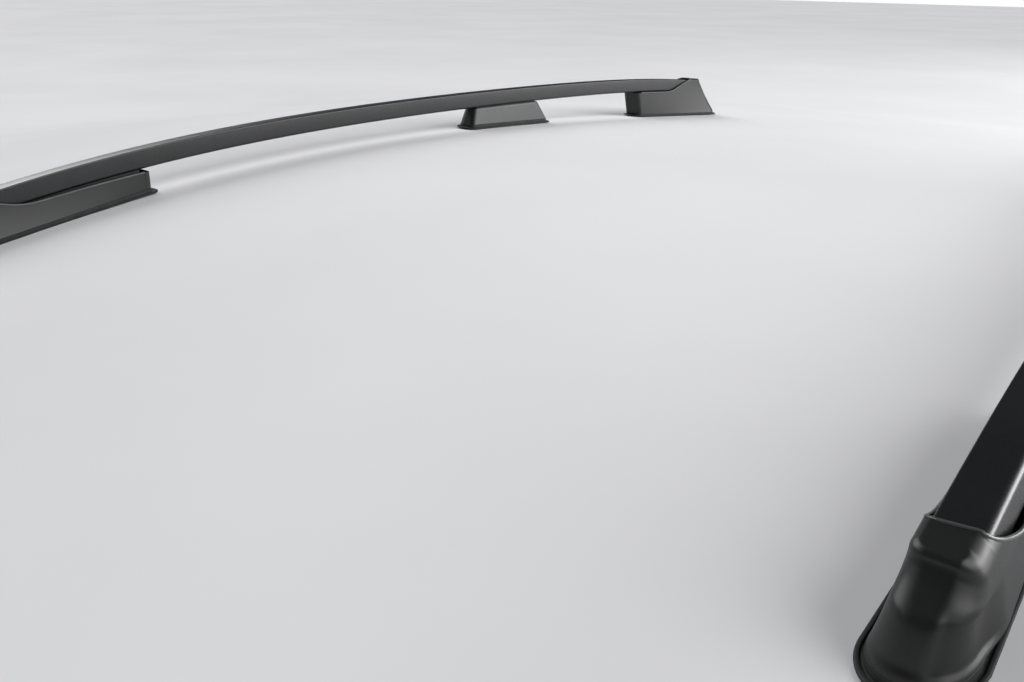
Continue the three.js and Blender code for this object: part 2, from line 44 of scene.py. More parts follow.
rail = {
    "innerSpacing": 1109.0,   # between the bars' inner faces, halfway along
    "toeIn": 1.95,            # degrees
    "halfLength": 850.0,
    "crownHeight": 103.5,     # underside of the bar at the crown
    "archSquare": -24.9,
    "archCube": 12.6,
    "archFourth": -19.4,
    "frontEnd": -872.0,
    "rearEnd": 828.0,
    "height": 28.0,
    "width": 34.0,
    "wall": 2.5,
    "ridgeDrop": 0.8,         # the outer top edge stands lower than the inner one
    "ridgeRadius": 6.5,
    "ridgeInset": 9.5,
    "innerTopRadius": 1.8,
    "innerBottomRadius": 4.0,
    "outerBottomRadius": 6.0,
    "hollowRadius": 1.5,
    "stationGap": 11.0,       # spacing of the drawn sections
    "cornerSteps": 12,
    "sharpAngle": 50,
}
toe = math.radians(rail["toeIn"])
ridgeU = rail["width"] - rail["ridgeInset"]
middleU = rail["width"] / 2
sides = {"left": 1, "right": -1}


def archHeight(y):
    t = y / rail["halfLength"]
    return (rail["crownHeight"] + rail["archSquare"] * t**2 + rail["archCube"] * t**3
            + rail["archFourth"] * t**4)


def archSlope(y):
    return (archHeight(y + 1) - archHeight(y - 1)) / 2


def placed(point, side):
    u, y, z = point
    x = rail["innerSpacing"] / 2 + u * math.cos(toe) - y * math.sin(toe)
    return Vector((side * x, u * math.sin(toe) + y * math.cos(toe), z)) * mm


def mix(a, b, t):
    return a + (b - a) * t


def held(t):
    return min(1.0, max(0.0, t))


def smooth(t):
    t = held(t)
    return t * t * (3 - 2 * t)


# the value between low and high at which a test turns from true to false
def lastTrue(test, low, high, times=40):
    for _ in range(times):
        middle = (low + high) / 2
        low, high = (middle, high) if test(middle) else (low, middle)
    return low


# a smooth curve through [x, y] points, without overshoot
def curveThrough(points, x):
    if x <= points[0][0]:
        return points[0][1]
    if x >= points[-1][0]:
        return points[-1][1]
    k = max(i for i in range(len(points) - 1) if points[i][0] <= x)
    steps = [(q[1] - p[1]) / (q[0] - p[0]) for p, q in zip(points, points[1:])]

    def slopeAt(i):
        if i in (0, len(points) - 1):
            return steps[min(i, len(steps) - 1)]
        a, b = steps[i - 1], steps[i]
        return 0.0 if a * b <= 0 else 2 * a * b / (a + b)

    (x0, y0), (x1, y1) = points[k], points[k + 1]
    h, t = x1 - x0, (x - x0) / (x1 - x0)
    return ((1 + 2 * t) * (1 - t) ** 2 * y0 + t * (1 - t) ** 2 * h * slopeAt(k)
            + t * t * (3 - 2 * t) * y1 + t * t * (t - 1) * h * slopeAt(k + 1))


# adds one node with its settings, its fixed values and what is linked into it
def addNode(tree, kind, values=None, links=None, **settings):
    node = tree.nodes.new(kind)
    for key, value in settings.items():
        setattr(node, key, value)
    for key, value in (values or {}).items():
        node.inputs[key].default_value = value
    for key, source in (links or {}).items():
        tree.links.new(source, node.inputs[key])
    return node


# a Geometry Nodes tree with named inputs, from its geometry to its material
def newTree(name, inputs):
    tree = bpy.data.node_groups.new(name, "GeometryNodeTree")
    for label, kind in {"Geometry": "Geometry", **inputs, "Material": "Material"}.items():
        tree.interface.new_socket(label, in_out="INPUT", socket_type="NodeSocket" + kind)
    tree.interface.new_socket("Geometry", in_out="OUTPUT", socket_type="NodeSocketGeometry")
    return tree, addNode(tree, "NodeGroupInput").outputs


# the end that every tree has
def endTree(tree, geometry, given):
    whole = addNode(tree, "GeometryNodeRealizeInstances", links={"Geometry": geometry})
    painted = addNode(tree, "GeometryNodeSetMaterial",
                      links={"Geometry": whole.outputs[0], "Material": given["Material"]})
    addNode(tree, "NodeGroupOutput", links={0: painted.outputs[0]})
    return tree


# an sRGB hex colour as linear red, green, blue and alpha
def linearColour(hexText):
    parts = [int(hexText[i:i + 2], 16) / 255 for i in (1, 3, 5)]
    return [c / 12.92 if c <= 0.04045 else ((c + 0.055) / 1.055) ** 2.4 for c in parts] + [1.0]


# noise scale for a pattern whose features are this many millimetres across
def perMetre(size):
    return 1 / (size * mm)


# A principled surface: colour drifts between two near shades, roughness drifts with it,
# and two sizes of fine relief stand on it.
def surface(name, look):
    material = bpy.data.materials.new(name)
    material.use_nodes = True
    tree = material.node_tree
    tree.nodes.clear()
    place = addNode(tree, "ShaderNodeTexCoord")
    drift = addNode(tree, "ShaderNodeTexNoise",
                    {"Scale": perMetre(look["driftSize"]), "Detail": 4.0, "Roughness": 0.55},
                    {"Vector": place.outputs["Object"]})
    grain = addNode(tree, "ShaderNodeTexNoise",
                    {"Scale": perMetre(look["grainSize"]), "Detail": 2.0, "Roughness": 0.5},
                    {"Vector": place.outputs["Object"]})
    pits = addNode(tree, "ShaderNodeTexVoronoi",
                   {"Scale": perMetre(look["pitSize"]), "Randomness": 1.0},
                   {"Vector": place.outputs["Object"]})
    shade = addNode(tree, "ShaderNodeMapRange",
                    {"From Min": 0.35, "From Max": 0.65},   # the noise seldom leaves these
                    {"Value": drift.outputs[0]})
    colour = addNode(tree, "ShaderNodeMix",
                     {6: linearColour(look["dark"]), 7: linearColour(look["light"])},
                     {0: shade.outputs[0]}, data_type="RGBA")
    gloss = addNode(tree, "ShaderNodeMapRange",
                    {"From Min": 0.3, "From Max": 0.7,
                     "To Min": look["roughLow"], "To Max": look["roughHigh"]},
                    {"Value": grain.outputs[0]})
    relief = addNode(tree, "ShaderNodeBump",
                     {"Strength": look["grainStrength"], "Distance": look["grainDepth"] * mm},
                     {"Height": grain.outputs[0]})
    fine = addNode(tree, "ShaderNodeBump",
                   {"Strength": look["pitStrength"], "Distance": look["pitDepth"] * mm},
                   {"Height": pits.outputs["Distance"], "Normal": relief.outputs[0]})
    shader = addNode(tree, "ShaderNodeBsdfPrincipled",
                     {"Metallic": look["metallic"], "Specular IOR Level": look["specular"]},
                     {"Base Color": colour.outputs[2], "Roughness": gloss.outputs[0],
                      "Normal": fine.outputs[0]})
    if "ior" in look:
        shader.inputs["IOR"].default_value = look["ior"]
    addNode(tree, "ShaderNodeOutputMaterial", links={"Surface": shader.outputs[0]})
    material.diffuse_color = linearColour(look["light"])
    return material


# Extruded aluminium under satin black polyester powder: a soft wide sheen with faint orange peel,
# about 1.6 mm from hump to hump, and a colour that hardly drifts.
powderCoat = surface("satinBlackPowderCoatedAluminium", {
    "dark": "#121314", "light": "#17181a", "driftSize": 60, "grainSize": 1.6, "pitSize": 0.5,
    "roughLow": 0.27, "roughHigh": 0.32, "grainStrength": 0.1, "grainDepth": 0.02,
    "pitStrength": 0.05, "pitDepth": 0.01, "metallic": 0.0, "specular": 0.5, "ior": 1.52,
})

# Injection-moulded ASA from a fine spark-eroded tool: near black, a little duller than the bar.
# The real grain is about 0.1 mm; it is drawn at 0.7 mm so that it shows.
mouldedAsa = surface("satinBlackMouldedAsa", {
    "dark": "#101111", "light": "#161717", "driftSize": 45, "grainSize": 0.7, "pitSize": 1.1,
    "roughLow": 0.36, "roughHigh": 0.44, "grainStrength": 0.3, "grainDepth": 0.018,
    "pitStrength": 0.1, "pitDepth": 0.012, "metallic": 0.0, "specular": 0.45, "ior": 1.5,
})

# The same black moulding on the collar's bead, a little smoother, and painted paler as a highlight
# along its rounded lip.
beadPaintedHighlightAsa = surface("polishedBlackAsaBead", {
    "dark": "#3e3f3e", "light": "#484948", "driftSize": 20, "grainSize": 0.9, "pitSize": 1.4,
    "roughLow": 0.3, "roughHigh": 0.38, "grainStrength": 0.15, "grainDepth": 0.01,
    "pitStrength": 0.08, "pitDepth": 0.01, "metallic": 0.0, "specular": 0.5, "ior": 1.5,
})

# Moulded EPDM: dull, faintly bloomed dark grey with a dry skin.
epdmRubber = surface("mouldedEpdmRubber", {
    "dark": "#1b1d1d", "light": "#252727", "driftSize": 18, "grainSize": 1.0, "pitSize": 2.2,
    "roughLow": 0.6, "roughHigh": 0.76, "grainStrength": 0.35, "grainDepth": 0.03,
    "pitStrength": 0.2, "pitDepth": 0.02, "metallic": 0.0, "specular": 0.35, "ior": 1.5,
})

# Pressure-cast aluminium, shot-blasted and dip-coated black: a dull dark skin with a sandy relief.
castAluminium = surface("blackDipCoatedCastAluminium", {
    "dark": "#151617", "light": "#1f2021", "driftSize": 22, "grainSize": 0.9, "pitSize": 1.3,
    "roughLow": 0.5, "roughHigh": 0.62, "grainStrength": 0.5, "grainDepth": 0.05,
    "pitStrength": 0.35, "pitDepth": 0.04, "metallic": 0.0, "specular": 0.4,
})

# Zinc-plated steel with a clear passivate: bright, with slow straw and blue-grey patches.
zincPlate = surface("clearPassivatedZincPlatedSteel", {
    "dark": "#b9b6a6", "light": "#c4c8cc", "driftSize": 5, "grainSize": 0.5, "pitSize": 0.9,
    "roughLow": 0.26, "roughHigh": 0.38, "grainStrength": 0.2, "grainDepth": 0.01,
    "pitStrength": 0.15, "pitDepth": 0.01, "metallic": 1.0, "specular": 0.5,
})

# Matt pale studio vinyl.
paleFloor = surface("mattPaleStudioVinyl", {
    "dark": "#dcdcde", "light": "#e2e2e4", "driftSize": 900, "grainSize": 6, "pitSize": 9,
    "roughLow": 0.85, "roughHigh": 0.92, "grainStrength": 0.02, "grainDepth": 0.02,
    "pitStrength": 0.02, "pitDepth": 0.02, "metallic": 0.0, "specular": 0.1,
})
print("materials made")


mergeWithin = 0.004      # millimetres
collapseWithin = 0.002


# an object at the origin from vertices in metres; doubles are merged and faces shaded smooth
def makePiece(name, vertices, faces, material, sharpAngle=30, flip=False):
    mesh = bpy.data.meshes.new(name)
    mesh.from_pydata(vertices, [], faces)
    work = bmesh.new()
    work.from_mesh(mesh)
    bmesh.ops.remove_doubles(work, verts=work.verts, dist=mergeWithin * mm)
    bmesh.ops.dissolve_degenerate(work, dist=collapseWithin * mm, edges=work.edges)
    if flip:
        bmesh.ops.reverse_faces(work, faces=work.faces)
    work.to_mesh(mesh)
    work.free()
    mesh.shade_smooth()
    mesh.set_sharp_from_angle(angle=math.radians(sharpAngle))
    mesh.materials.append(material)
    piece = bpy.data.objects.new(name, mesh)
    bpy.context.scene.collection.objects.link(piece)
    return piece


# turns a closed piece's faces outwards
def faceOutwards(piece):
    work = bmesh.new()
    work.from_mesh(piece.data)
    bmesh.ops.recalc_face_normals(work, faces=work.faces)
    if work.calc_volume(signed=True) < 0:
        bmesh.ops.reverse_faces(work, faces=work.faces)
    work.to_mesh(piece.data)
    work.free()


# replaces a piece's mesh with what its modifiers make, and removes them
def bakeModifiers(piece, sharpAngle=30):
    deps = bpy.context.evaluated_depsgraph_get()
    mesh = bpy.data.meshes.new_from_object(piece.evaluated_get(deps), depsgraph=deps,
                                           preserve_all_data_layers=True)
    piece.modifiers.clear()
    old = piece.data
    mesh.name = piece.name
    piece.data = mesh
    bpy.data.meshes.remove(old)
    mesh.shade_smooth()
    mesh.set_sharp_from_angle(angle=math.radians(sharpAngle))


# runs a node tree on a piece with its named inputs, and keeps the result as a plain mesh
def bakeTree(piece, tree, inputs, sharpAngle=30):
    modifier = piece.modifiers.new(tree.name, "NODES")
    modifier.node_group = tree
    for item in tree.interface.items_tree:
        if item.item_type == "SOCKET" and item.in_out == "INPUT" and item.name in inputs:
            modifier[item.identifier] = inputs[item.name]
    bakeModifiers(piece, sharpAngle)


# gives an open skin its wall, grown inwards; a sharp corner keeps at most this much extra depth
def thicken(piece, wall, cornerLimit=1.35, sharpAngle=30):
    work = bmesh.new()
    work.from_mesh(piece.data)
    outer = list(work.verts)
    depths = [v.co - v.normal * wall * mm * min(v.calc_shell_factor(), cornerLimit) for v in outer]
    edges = [e for e in work.edges if e.is_boundary]
    loops = [e.link_loops[0] for e in edges]
    rims = [(loop.vert.index, loop.link_loop_next.vert.index) for loop in loops]
    shell = [[v.index for v in face.verts] for face in work.faces]
    inner = [work.verts.new(co) for co in depths]
    for face in shell:
        work.faces.new([inner[i] for i in reversed(face)])
    for a, b in rims:
        work.faces.new((outer[b], outer[a], inner[a], inner[b]))
    work.normal_update()
    work.to_mesh(piece.data)
    work.free()
    piece.data.shade_smooth()
    piece.data.set_sharp_from_angle(angle=math.radians(sharpAngle))


# faces of a grid of rows and columns of vertices
def gridFaces(rows, columns, start=0, closed=False):
    last = columns if closed else columns - 1
    return [(start + r * columns + c, start + r * columns + (c + 1) % columns,
             start + (r + 1) * columns + (c + 1) % columns, start + (r + 1) * columns + c)
            for r in range(rows - 1) for c in range(last)]


# angle of the line that touches circle p and then circle q, both [u, v, radius]
def touchAngle(p, q):
    along = math.atan2(q[1] - p[1], q[0] - p[0])
    return along - math.acos((p[2] - q[2]) / math.hypot(q[0] - p[0], q[1] - p[1]))


def onCircle(circle, angle):
    return (circle[0] + circle[2] * math.cos(angle), circle[1] + circle[2] * math.sin(angle))


# closed outline round corner circles, counter-clockwise
def roundOutline(corners, steps):
    points = []
    for i, corner in enumerate(corners):
        start = touchAngle(corners[i - 1], corner)
        end = touchAngle(corner, corners[(i + 1) % len(corners)])
        while end < start:
            end += 2 * math.pi
        points += [onCircle(corner, mix(start, end, k / steps)) for k in range(steps + 1)]
    return points


# outline of a box with four rounded corners, each radius in the order of the corners
def roundBox(u0, v0, u1, v1, radii, steps):
    a, b, c, d = radii
    return roundOutline([(u0 + a, v0 + a, a), (u1 - b, v0 + b, b), (u1 - c, v1 - c, c),
                         (u0 + d, v1 - d, d)], steps)


# a closed piece through rings of [u, y, z] points, capped at both ends
def ringPiece(name, rings, side, material, sharpAngle=30):
    count = len(rings[0])
    vertices = [placed(p, side) for ring in rings for p in ring]
    faces = gridFaces(len(rings), count, closed=True)
    faces += [tuple(range(count)), tuple(range((len(rings) - 1) * count, len(rings) * count))]
    piece = makePiece(name, vertices, faces, material, sharpAngle)
    faceOutwards(piece)
    return piece


# corner circles of the bar's section, or of its hollow where an inset is given
def barCorners(inset=0.0):
    low, top = rail["innerBottomRadius"], rail["innerTopRadius"]
    if inset:
        low = top = rail["hollowRadius"]
    outer, ridge = rail["outerBottomRadius"], rail["ridgeRadius"]
    return [
        (inset + low, inset + low, low),
        (rail["width"] - outer, outer, outer - inset),
        (ridgeU, rail["height"] - rail["ridgeDrop"] - ridge, ridge - inset),
        (inset + top, rail["height"] - inset - top, top),
    ]


# Bends a straight tube to the rail's arch, turns it in, sets it out from the centre plane, and
# mirrors it for the right-hand side. Lengths are in metres.
def archTree():
    sizes = ("Half length", "Crown height", "Square", "Cube", "Fourth", "Toe-in", "Half spacing")
    tree, given = newTree("railArch", {label: "Float" for label in sizes + ("Side",)})
    position = addNode(tree, "GeometryNodeInputPosition")
    axes = addNode(tree, "ShaderNodeSeparateXYZ", links={0: position.outputs[0]})
    share = addNode(tree, "ShaderNodeMath", links={0: axes.outputs[1], 1: given["Half length"]},
                    operation="DIVIDE")
    square = addNode(tree, "ShaderNodeMath", links={0: share.outputs[0], 1: share.outputs[0]},
                     operation="MULTIPLY")
    arch = given["Fourth"]
    for factor, term in ((share, "Cube"), (share, "Square"), (square, "Crown height")):
        step = addNode(tree, "ShaderNodeMath", links={0: arch, 1: factor.outputs[0], 2: given[term]},
                       operation="MULTIPLY_ADD")
        arch = step.outputs[0]
    height = addNode(tree, "ShaderNodeMath", links={0: axes.outputs[2], 1: arch}, operation="ADD")
    lifted = addNode(tree, "ShaderNodeCombineXYZ",
                     links={0: axes.outputs[0], 1: axes.outputs[1], 2: height.outputs[0]})
    turned = addNode(tree, "ShaderNodeVectorRotate",
                     links={"Vector": lifted.outputs[0], "Angle": given["Toe-in"]},
                     rotation_type="Z_AXIS")
    outward = addNode(tree, "ShaderNodeCombineXYZ", links={0: given["Half spacing"]})
    moved = addNode(tree, "ShaderNodeVectorMath",
                    links={0: turned.outputs[0], 1: outward.outputs[0]}, operation="ADD")
    hand = addNode(tree, "ShaderNodeCombineXYZ", {1: 1.0, 2: 1.0}, {0: given["Side"]})
    handed = addNode(tree, "ShaderNodeVectorMath",
                     links={0: moved.outputs[0], 1: hand.outputs[0]}, operation="MULTIPLY")
    bent = addNode(tree, "GeometryNodeSetPosition",
                   links={"Geometry": given["Geometry"], "Position": handed.outputs[0]})
    mirrored = addNode(tree, "FunctionNodeCompare", {1: 0.0}, {0: given["Side"]},
                       data_type="FLOAT", operation="LESS_THAN")
    facing = addNode(tree, "GeometryNodeFlipFaces",
                     links={"Mesh": bent.outputs[0], "Selection": mirrored.outputs[0]})
    return endTree(tree, facing.outputs[0], given)


# the straight hollow tube, in metres, faces outwards
def straightTube():
    outer = roundOutline(barCorners(), rail["cornerSteps"])
    inner = roundOutline(barCorners(rail["wall"]), rail["cornerSteps"])
    length = rail["rearEnd"] - rail["frontEnd"]
    cells = math.ceil(length / rail["stationGap"])
    count = len(outer)
    vertices = []
    for outline in (outer, inner):
        for k in range(cells + 1):
            y = rail["frontEnd"] + length * k / cells
            vertices += [Vector((u, y, h)) * mm for u, h in outline]
    half = (cells + 1) * count
    faces = gridFaces(cells + 1, count, closed=True)
    faces += [f[::-1] for f in gridFaces(cells + 1, count, start=half, closed=True)]
    for c in range(count):
        n = (c + 1) % count
        faces.append((c, half + c, half + n, n))
        end = cells * count
        faces.append((end + n, half + end + n, half + end + c, end + c))
    return vertices, faces


arch = archTree()
for sideName, side in sides.items():
    vertices, faces = straightTube()
    bar = makePiece(sideName + "_rail_bar", vertices, faces, powderCoat, rail["sharpAngle"])
    faceOutwards(bar)
    bakeTree(bar, arch, {
        "Half length": rail["halfLength"] * mm,
        "Crown height": rail["crownHeight"] * mm,
        "Square": rail["archSquare"] * mm,
        "Cube": rail["archCube"] * mm,
        "Fourth": rail["archFourth"] * mm,
        "Toe-in": toe,
        "Half spacing": rail["innerSpacing"] / 2 * mm,
        "Side": float(side),
        "Material": powderCoat,
    }, rail["sharpAngle"])
    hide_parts(sideName + "_bar")
    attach(bar, "rack")
print("bars bent")


foot = {
    "proud": 4.0,              # the cover's outside stands this far off the bar
    "wall": 2.4,
    "flarePower": 1.6,
    "topRadiusInner": 10.0,    # of the plan's nose corners, up at the top
    "topRadiusOuter": 14.0,
    "noseFlat": 2.0,           # least flat between the nose corners
    "splitBehind": 4.0,        # the cover's tail edge, past the tail wall's corner
    "splitGap": 0.4,
    "touchGap": 0.3,
    "topEase": 0.2,            # share of the top over which its fall eases into the ridge
    "innerEdge": 5.8,          # rounding along the cover's inner top edge
    "outerEdge": 13.0,         # and along its outer one, round the bar's ridge
    "wallLean": 4.0,           # how far the outer wall leans in up to the ridge
    "leanFrom": 6.0,           # above the bar's underside
    "leanOver": 18.0,
    "leanAcross": 14.0,
    # the plan narrows at the nose's base, from this far behind the nose
    "taperFrom": 75.0, "taperOver": 50.0,
    # the raised block at the nose: where it ends across, along, and up the wall
    "blockEnd": 21.0, "blockFade": 8.0, "blockBack": 70.0, "blockOver": 30.0,
    "blockRise": 0.12, "blockFall": 0.16,
    "roundShare": 0.8,         # share of a column's rows below the rounding
    "wallRows": 46,
    "edgeRows": 10,
    "columnGaps": (9.0, 1.6, 2.0),   # spacing of columns before, along and past the seam
    "arcSteps": 20,
    "across": 22,              # strips across the top
    "plateMargin": 6.0,        # from the foot's end to the bracket's plate
    "tailCornerSteps": 10, "tailBackSteps": 8, "tailRows": 14,
    "beadRadius": 1.55,
    "beadOut": 0.5,            # the bead stands this far out of the cover's edge
    "beadSpacing": 1.2,
    "beadSides": 16,
    "beadEasing": 8,
}

frontFoot = {
    "dir": -1, "noseY": -920.0, "length": 299.0,
    "padNose": 1.1, "padTail": 44.8, "padThickness": 7.0, "padTailLip": 9.0,
    "seamStart": 143.0, "seamEnd": 56.0, "seamPower": 2.0,
    "wedgeNear": 1.5, "wedgeFar": 4.5, "flareInner": 12.5, "flareOuter": 9.0,
    "noseRadiusInner": 26.0, "noseRadiusOuter": 36.0, "tailLean": 0.0, "tailRadius": 4.0,
    "creaseRadius": 4.5,
    "taperInner": 3.5, "taperOuter": 6.5,   # the narrowing at the base's inner and outer corners
    # beside the raised block the nose stands further back, up to this share of the height
    "besideBlock": 2.6, "blockTop": 0.64,
    # how far the nose stands back at a share of its height: skirt, block, dip and crease
    "noseProfile": [(0, 0), (0.06, 0.4), (0.1, 1.2), (0.14, 2.4), (0.3, 4.8), (0.46, 7.2),
                    (0.58, 9.4), (0.64, 11.4), (0.69, 14.8), (0.75, 19.0), (0.82, 23.2),
                    (0.89, 26.6), (0.95, 29.0), (1, 30.0)],
    "studs": (60.0, 178.0),
}

rearFoot = {
    "dir": 1, "noseY": 926.0, "length": 355.0,
    "padNose": 13.6, "padTail": 38.7, "padThickness": 4.0, "padTailLip": 6.0,
    "seamStart": 203.0, "seamEnd": 112.0, "seamPower": 1.0,
    "wedgeNear": 1.4, "wedgeFar": 1.8, "flareInner": 10.0, "flareOuter": 8.0,
    "noseRadiusInner": 26.0, "noseRadiusOuter": 34.0, "tailLean": 23.0, "tailRadius": 14.0,
    "creaseRadius": 5.0,
    "taperInner": 0.0, "taperOuter": 0.0,
    "besideBlock": 0.0, "blockTop": 0.5,
    "noseProfile": [(0, 0), (0.05, 0.8), (0.1, 3.0), (0.16, 8.0), (0.35, 23.0), (0.55, 38.5),
                    (0.75, 53.0), (0.9, 64.5), (1, 72.0)],
    "studs": (80.0, 214.0),
}


def fromTail(f, v):
    return f["noseY"] - f["dir"] * f["length"] + f["dir"] * v


def padSlope(f):
    return (f["padNose"] - f["padTail"]) / f["length"] * f["dir"]


def padUnder(f, y):
    return f["padTail"] + (y - fromTail(f, 0)) * padSlope(f)


def coverBase(f, y):
    return padUnder(f, y) + f["padThickness"] + foot["touchGap"]


def seamStartY(f):
    return f["noseY"] - f["dir"] * f["seamStart"]


def seamEndY(f):
    return f["noseY"] - f["dir"] * f["seamEnd"]


# the wedge of air between the bar's underside and the cover, behind the seam
def wedgeAt(f, y):
    startY = seamStartY(f)
    return mix(f["wedgeNear"], f["wedgeFar"], (y - startY) / (fromTail(f, 0) - startY))


# height of the cover's top, which carries on from the bar's
def topAt(f, u, y):
    x, ease = held(u / ridgeU), foot["topEase"]
    drop = (x - max(0.0, x - 1 + ease) ** 2 / (2 * ease)) / (1 - ease / 2)
    end = seamEndY(f)
    line = archHeight(end) + (y - end) * archSlope(end)
    return line + rail["height"] - rail["ridgeDrop"] * drop + foot["proud"]


# corner circles of the plan at a share of the height: tail inner, tail outer, nose outer, nose inner
def planCircles(f, s, spread=0.0):
    flare = (1 - s) ** foot["flarePower"]
    low = -foot["proud"] - spread
    high = rail["width"] + foot["proud"] + spread
    noseV = f["length"] - curveThrough(f["noseProfile"], s) + spread
    tailV = f["tailLean"] * (1 - s) - spread
    tailR = f["tailRadius"] + spread
    noseLow = low - f["flareInner"] * flare
    noseHigh = high + f["flareOuter"] * flare
    inner = mix(f["noseRadiusInner"], foot["topRadiusInner"], s) + spread
    outer = mix(f["noseRadiusOuter"], foot["topRadiusOuter"], s) + spread
    room = min(1.0, (noseHigh - noseLow - foot["noseFlat"]) / (inner + outer))
    inner, outer = inner * room, outer * room
    return [(low + tailR, tailV + tailR, tailR), (high - tailR, tailV + tailR, tailR),
            (noseHigh - outer, noseV - outer, outer), (noseLow + inner, noseV - inner, inner)]


# u of a plan point once the base's narrowing towards the nose is in
def tapered(f, s, u, v):
    share = smooth((v - f["length"] + foot["taperFrom"]) / foot["taperOver"]) * (1 - s)
    low = -foot["proud"] - f["flareInner"]
    high = rail["width"] + foot["proud"] + f["flareOuter"]
    return u + share * mix(f["taperInner"], -f["taperOuter"], (u - low) / (high - low))


def splitV(f, s, clearance):
    return f["tailLean"] * (1 - s) + f["tailRadius"] + foot["splitBehind"] + clearance


# A column of the cover stands at a place round its plan: ("in", share) along the inner side,
# then ("inArc", share), ("front", share), ("outArc", share), and ("out", share) back along
# the outer side.
# Returns u, v and the outward direction there.
def coverPlan(f, s, column):
    tailIn, tailOut, noseOut, noseIn = planCircles(f, s)
    where, t = column
    if where in ("in", "out"):
        circle, tail = (noseIn, tailIn) if where == "in" else (noseOut, tailOut)
        angle = touchAngle(noseIn, tailIn) if where == "in" else touchAngle(tailOut, noseOut)
        u1, v1 = onCircle(circle, angle)
        u0, v0 = onCircle(tail, angle)
        cutV = splitV(f, s, foot["splitGap"] / 2)
        u0, v0 = mix(u0, u1, (cutV - v0) / (v1 - v0)), cutV
        share = t if where == "in" else 1 - t
        return mix(u0, u1, share), mix(v0, v1, share), math.cos(angle), math.sin(angle)
    frontAngle = touchAngle(noseOut, noseIn)
    if where == "front":
        a, b = onCircle(noseIn, frontAngle), onCircle(noseOut, frontAngle)
        u, v, angle = mix(a[0], b[0], t), mix(a[1], b[1], t), frontAngle
        return u, v, math.cos(angle), math.sin(angle)
    if where == "inArc":
        end = touchAngle(noseIn, tailIn)
        while end < frontAngle:
            end += 2 * math.pi
        circle, angle = noseIn, mix(end, frontAngle, t)
    else:
        circle, angle = noseOut, mix(frontAngle, touchAngle(tailOut, noseOut), t)
    u, v = onCircle(circle, angle)
    return u, v, math.cos(angle), math.sin(angle)


# rounding at the top of a column
def edgeRadius(f, column):
    where, t = column
    inner, outer, crease = foot["innerEdge"], foot["outerEdge"], f["creaseRadius"]
    return {"in": inner, "inArc": mix(inner, crease, smooth(t)), "front": crease,
            "outArc": mix(crease, outer, smooth(t)), "out": outer}[where]


# point of the cover's outside on a column, p from 0 at the base to 1 on the top, and its direction
def coverPoint(f, column, p):
    low = foot["roundShare"]
    s = min(1.0, p / low)
    angle = max(0.0, p - low) / (1 - low) * math.pi / 2
    u, v, nu, nv = coverPlan(f, s, column)
    r = edgeRadius(f, column)
    beside = smooth((u - foot["blockEnd"]) / foot["blockFade"])
    beside *= smooth((v - f["length"] + foot["blockBack"]) / foot["blockOver"])
    beside *= smooth(s / foot["blockRise"])
    beside *= smooth((f["blockTop"] + foot["blockRise"] - s) / foot["blockFall"])
    inset = r * (1 - math.cos(angle)) + f["besideBlock"] * beside
    u = tapered(f, s, u - nu * inset, v)
    v -= nv * inset
    y = fromTail(f, v)
    base = coverBase(f, y)
    z = base + s * (topAt(f, u, y) - r - base) + r * math.sin(angle)
    lean = foot["wallLean"] * smooth((u - middleU) / foot["leanAcross"])
    lean *= held((z - archHeight(y) - foot["leanFrom"]) / foot["leanOver"])
    return (u - lean, y, z), (nu * math.cos(angle), f["dir"] * nv * math.cos(angle), math.sin(angle))


# the share of a column at which the seam cuts it off
def seamShare(f, column):
    top = coverPoint(f, column, 1.0)[0]
    startY, endY = seamStartY(f), seamEndY(f)
    if (top[1] - endY) * f["dir"] >= -0.01:   # the last column may miss the end by rounding
        return 1.0

    def below(p):
        (_, y, z), _ = coverPoint(f, column, p)
        under = archHeight(y)
        along = (y - startY) / (endY - startY)
        if along <= 0:
            return z < under - wedgeAt(f, y)
        full = top[2] - under + f["wedgeNear"]
        return z < under - f["wedgeNear"] + full * min(1.0, along) ** f["seamPower"]

    return lastTrue(below, 0.0, 1.0)


